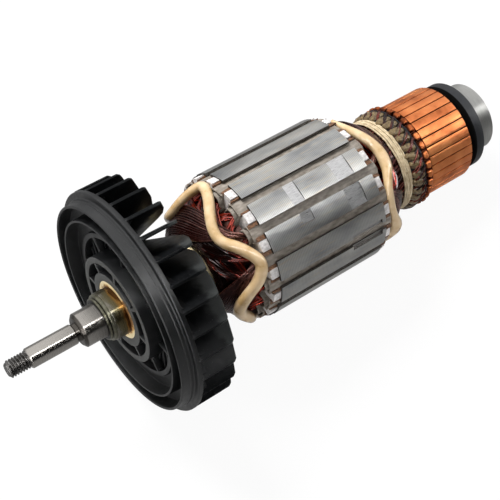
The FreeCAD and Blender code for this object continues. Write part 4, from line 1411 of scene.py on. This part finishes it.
# %% Floor
floor_glow_share, floor_in_metal = 0.93, 0.38
bpy.ops.object.select_all(action="DESELECT")
bpy.ops.mesh.primitive_plane_add(size=6, location=(0, 0, 0))
floor = fresh("floor")
floor_white = finish("floor_white", 0.0, Roughness=0.9, Specular_IOR_Level=0.1)
floor_tone = node(floor_white, "ShaderNodeTexNoise", {"Scale": 3.0}).outputs["Fac"]
wire_up(floor_white, ramp(floor_white, floor_tone, [(0.0, (0.90, 0.90, 0.90)), (1.0, (0.92, 0.92, 0.92))]))
floor_shader = floor_white.node_tree.nodes["Principled BSDF"]
floor_rays = node(floor_white, "ShaderNodeLightPath").outputs
floor_glow = node(floor_white, "ShaderNodeEmission", {"Strength": 1.0})
floor_dim = node(floor_white, "ShaderNodeEmission", {"Color": (1, 1, 1, 1), "Strength": floor_in_metal})
floor_mirrored = node(floor_white, "ShaderNodeMixShader", {
    "Fac": floor_rays["Is Glossy Ray"], 1: floor_shader.outputs["BSDF"], 2: floor_dim.outputs["Emission"],
})
floor_mix = node(floor_white, "ShaderNodeMixShader", {
    "Fac": maths(floor_white, "MULTIPLY", floor_rays["Is Camera Ray"], floor_glow_share),
    1: floor_mirrored.outputs["Shader"], 2: floor_glow.outputs["Emission"],
})
floor_out = floor_white.node_tree.nodes["Material Output"]
floor_white.node_tree.links.new(floor_mix.outputs["Shader"], floor_out.inputs["Surface"])
paint(floor, floor_white)
print("floor:", floor.dimensions[0], "m across")

# %% [markdown]
# ## The surroundings
# Metal shows what stands round it. In the photograph every turned piece has a narrow bright band, grey
# above it and black below, so that is what reflections see here: a ramp of brightness that runs round
# the object from one side to the other. The camera itself sees plain white, and soft light from all
# sides, at a little over a third of that, fills the shadows.

# %% Surroundings
fill_level, mirror_level = 0.38, 13.0
mirror_bands = [
    (0.0, 0.03), (0.02, 0.03), (0.045, 0.0012), (0.322, 0.0012),
    (0.336, 1.0), (0.364, 1.0), (0.378, 0.1), (1.0, 0.088),
]
world = bpy.data.worlds.new("studio")
bpy.context.scene.world = world
world.use_nodes = True
rays = node(world, "ShaderNodeLightPath").outputs
seen = maths(world, "MAXIMUM", rays["Is Camera Ray"], rays["Is Transmission Ray"])
ray_way = node(world, "ShaderNodeTexCoord").outputs["Generated"]
sideways = node(world, "ShaderNodeSeparateXYZ", {0: ray_way}).outputs["Y"]
band_tones = [(spot, (bright,) * 3) for spot, bright in mirror_bands]
bands = ramp(world, fade(world, sideways, -1.0, 1.0), band_tones)
mirrored = maths(world, "MULTIPLY", bands, mirror_level)
soft = node(world, "ShaderNodeMix", {0: rays["Is Glossy Ray"], 2: fill_level, 3: mirrored}).outputs[0]
level = node(world, "ShaderNodeMix", {0: seen, 2: soft, 3: 1.0}).outputs[0]
background = world.node_tree.nodes["Background"]
background.inputs["Color"].default_value = (1, 1, 1, 1)
world.node_tree.links.new(level, background.inputs["Strength"])
print("bright band between", mirror_bands[4][0], "and", mirror_bands[5][0])

# %% [markdown]
# ## The lamps
# Three square soft lamps light the matt pieces: a strong one from behind, which throws the shadow towards
# the camera, and two weak ones that open up the dark side. They are hidden from reflections, because
# the surroundings already give the metal its bands, and a second set of highlights would fight them.

# %% Lamps
def lamp(name, place, size, power):
    """A square soft lamp that points at the armature's middle."""
    bpy.ops.object.light_add(type="AREA", location=place)
    made = fresh(name)
    made.data.size = size
    made.data.energy = power
    made.rotation_euler = (Vector((0, 0, 0.03)) - Vector(place)).to_track_quat("-Z", "Y").to_euler()
    made.visible_glossy = False
    return made


lamp("key_lamp", (-0.05, 0.55, 0.70), 0.35, 13.0)
lamp("side_lamp", (0.75, -0.25, 0.45), 0.3, 1.3)
lamp("front_lamp", (-0.6, -0.45, 0.4), 0.3, 1.3)
print("lamps:", len(bpy.data.lights))

# %% [markdown]
# ## The camera
# Place, direction and lens were worked out from the ellipses that the photograph shows of known
# circles: the fan's lip, the core's ends, the commutator and the bearing. The focal length is known in
# pixels, and turns into millimetres with the width of the picture and of the sensor.

# %% Camera
photo_size, focal_pixels = 500.0, 1172.8
look_azimuth, look_down, roll = 36.852, 65.936, 1.537
bpy.ops.object.camera_add(location=(-0.105845, -0.134615, 0.398260))
camera = bpy.context.object
camera.data.sensor_width = 36.0
camera.data.lens = focal_pixels / photo_size * camera.data.sensor_width
turn, dip = math.radians(look_azimuth), math.radians(look_down)
ahead = Vector((math.sin(turn) * math.cos(dip), math.cos(turn) * math.cos(dip), -math.sin(dip)))
camera.rotation_euler = (
    ahead.to_track_quat("-Z", "Y") @ Quaternion((0, 0, 1), math.radians(roll))
).to_euler()
camera.data.clip_start, camera.data.clip_end = 0.01, 20.0
bpy.context.scene.camera = camera
bpy.context.scene.view_settings.view_transform = "Standard"
print("lens:", round(camera.data.lens, 2), "mm")
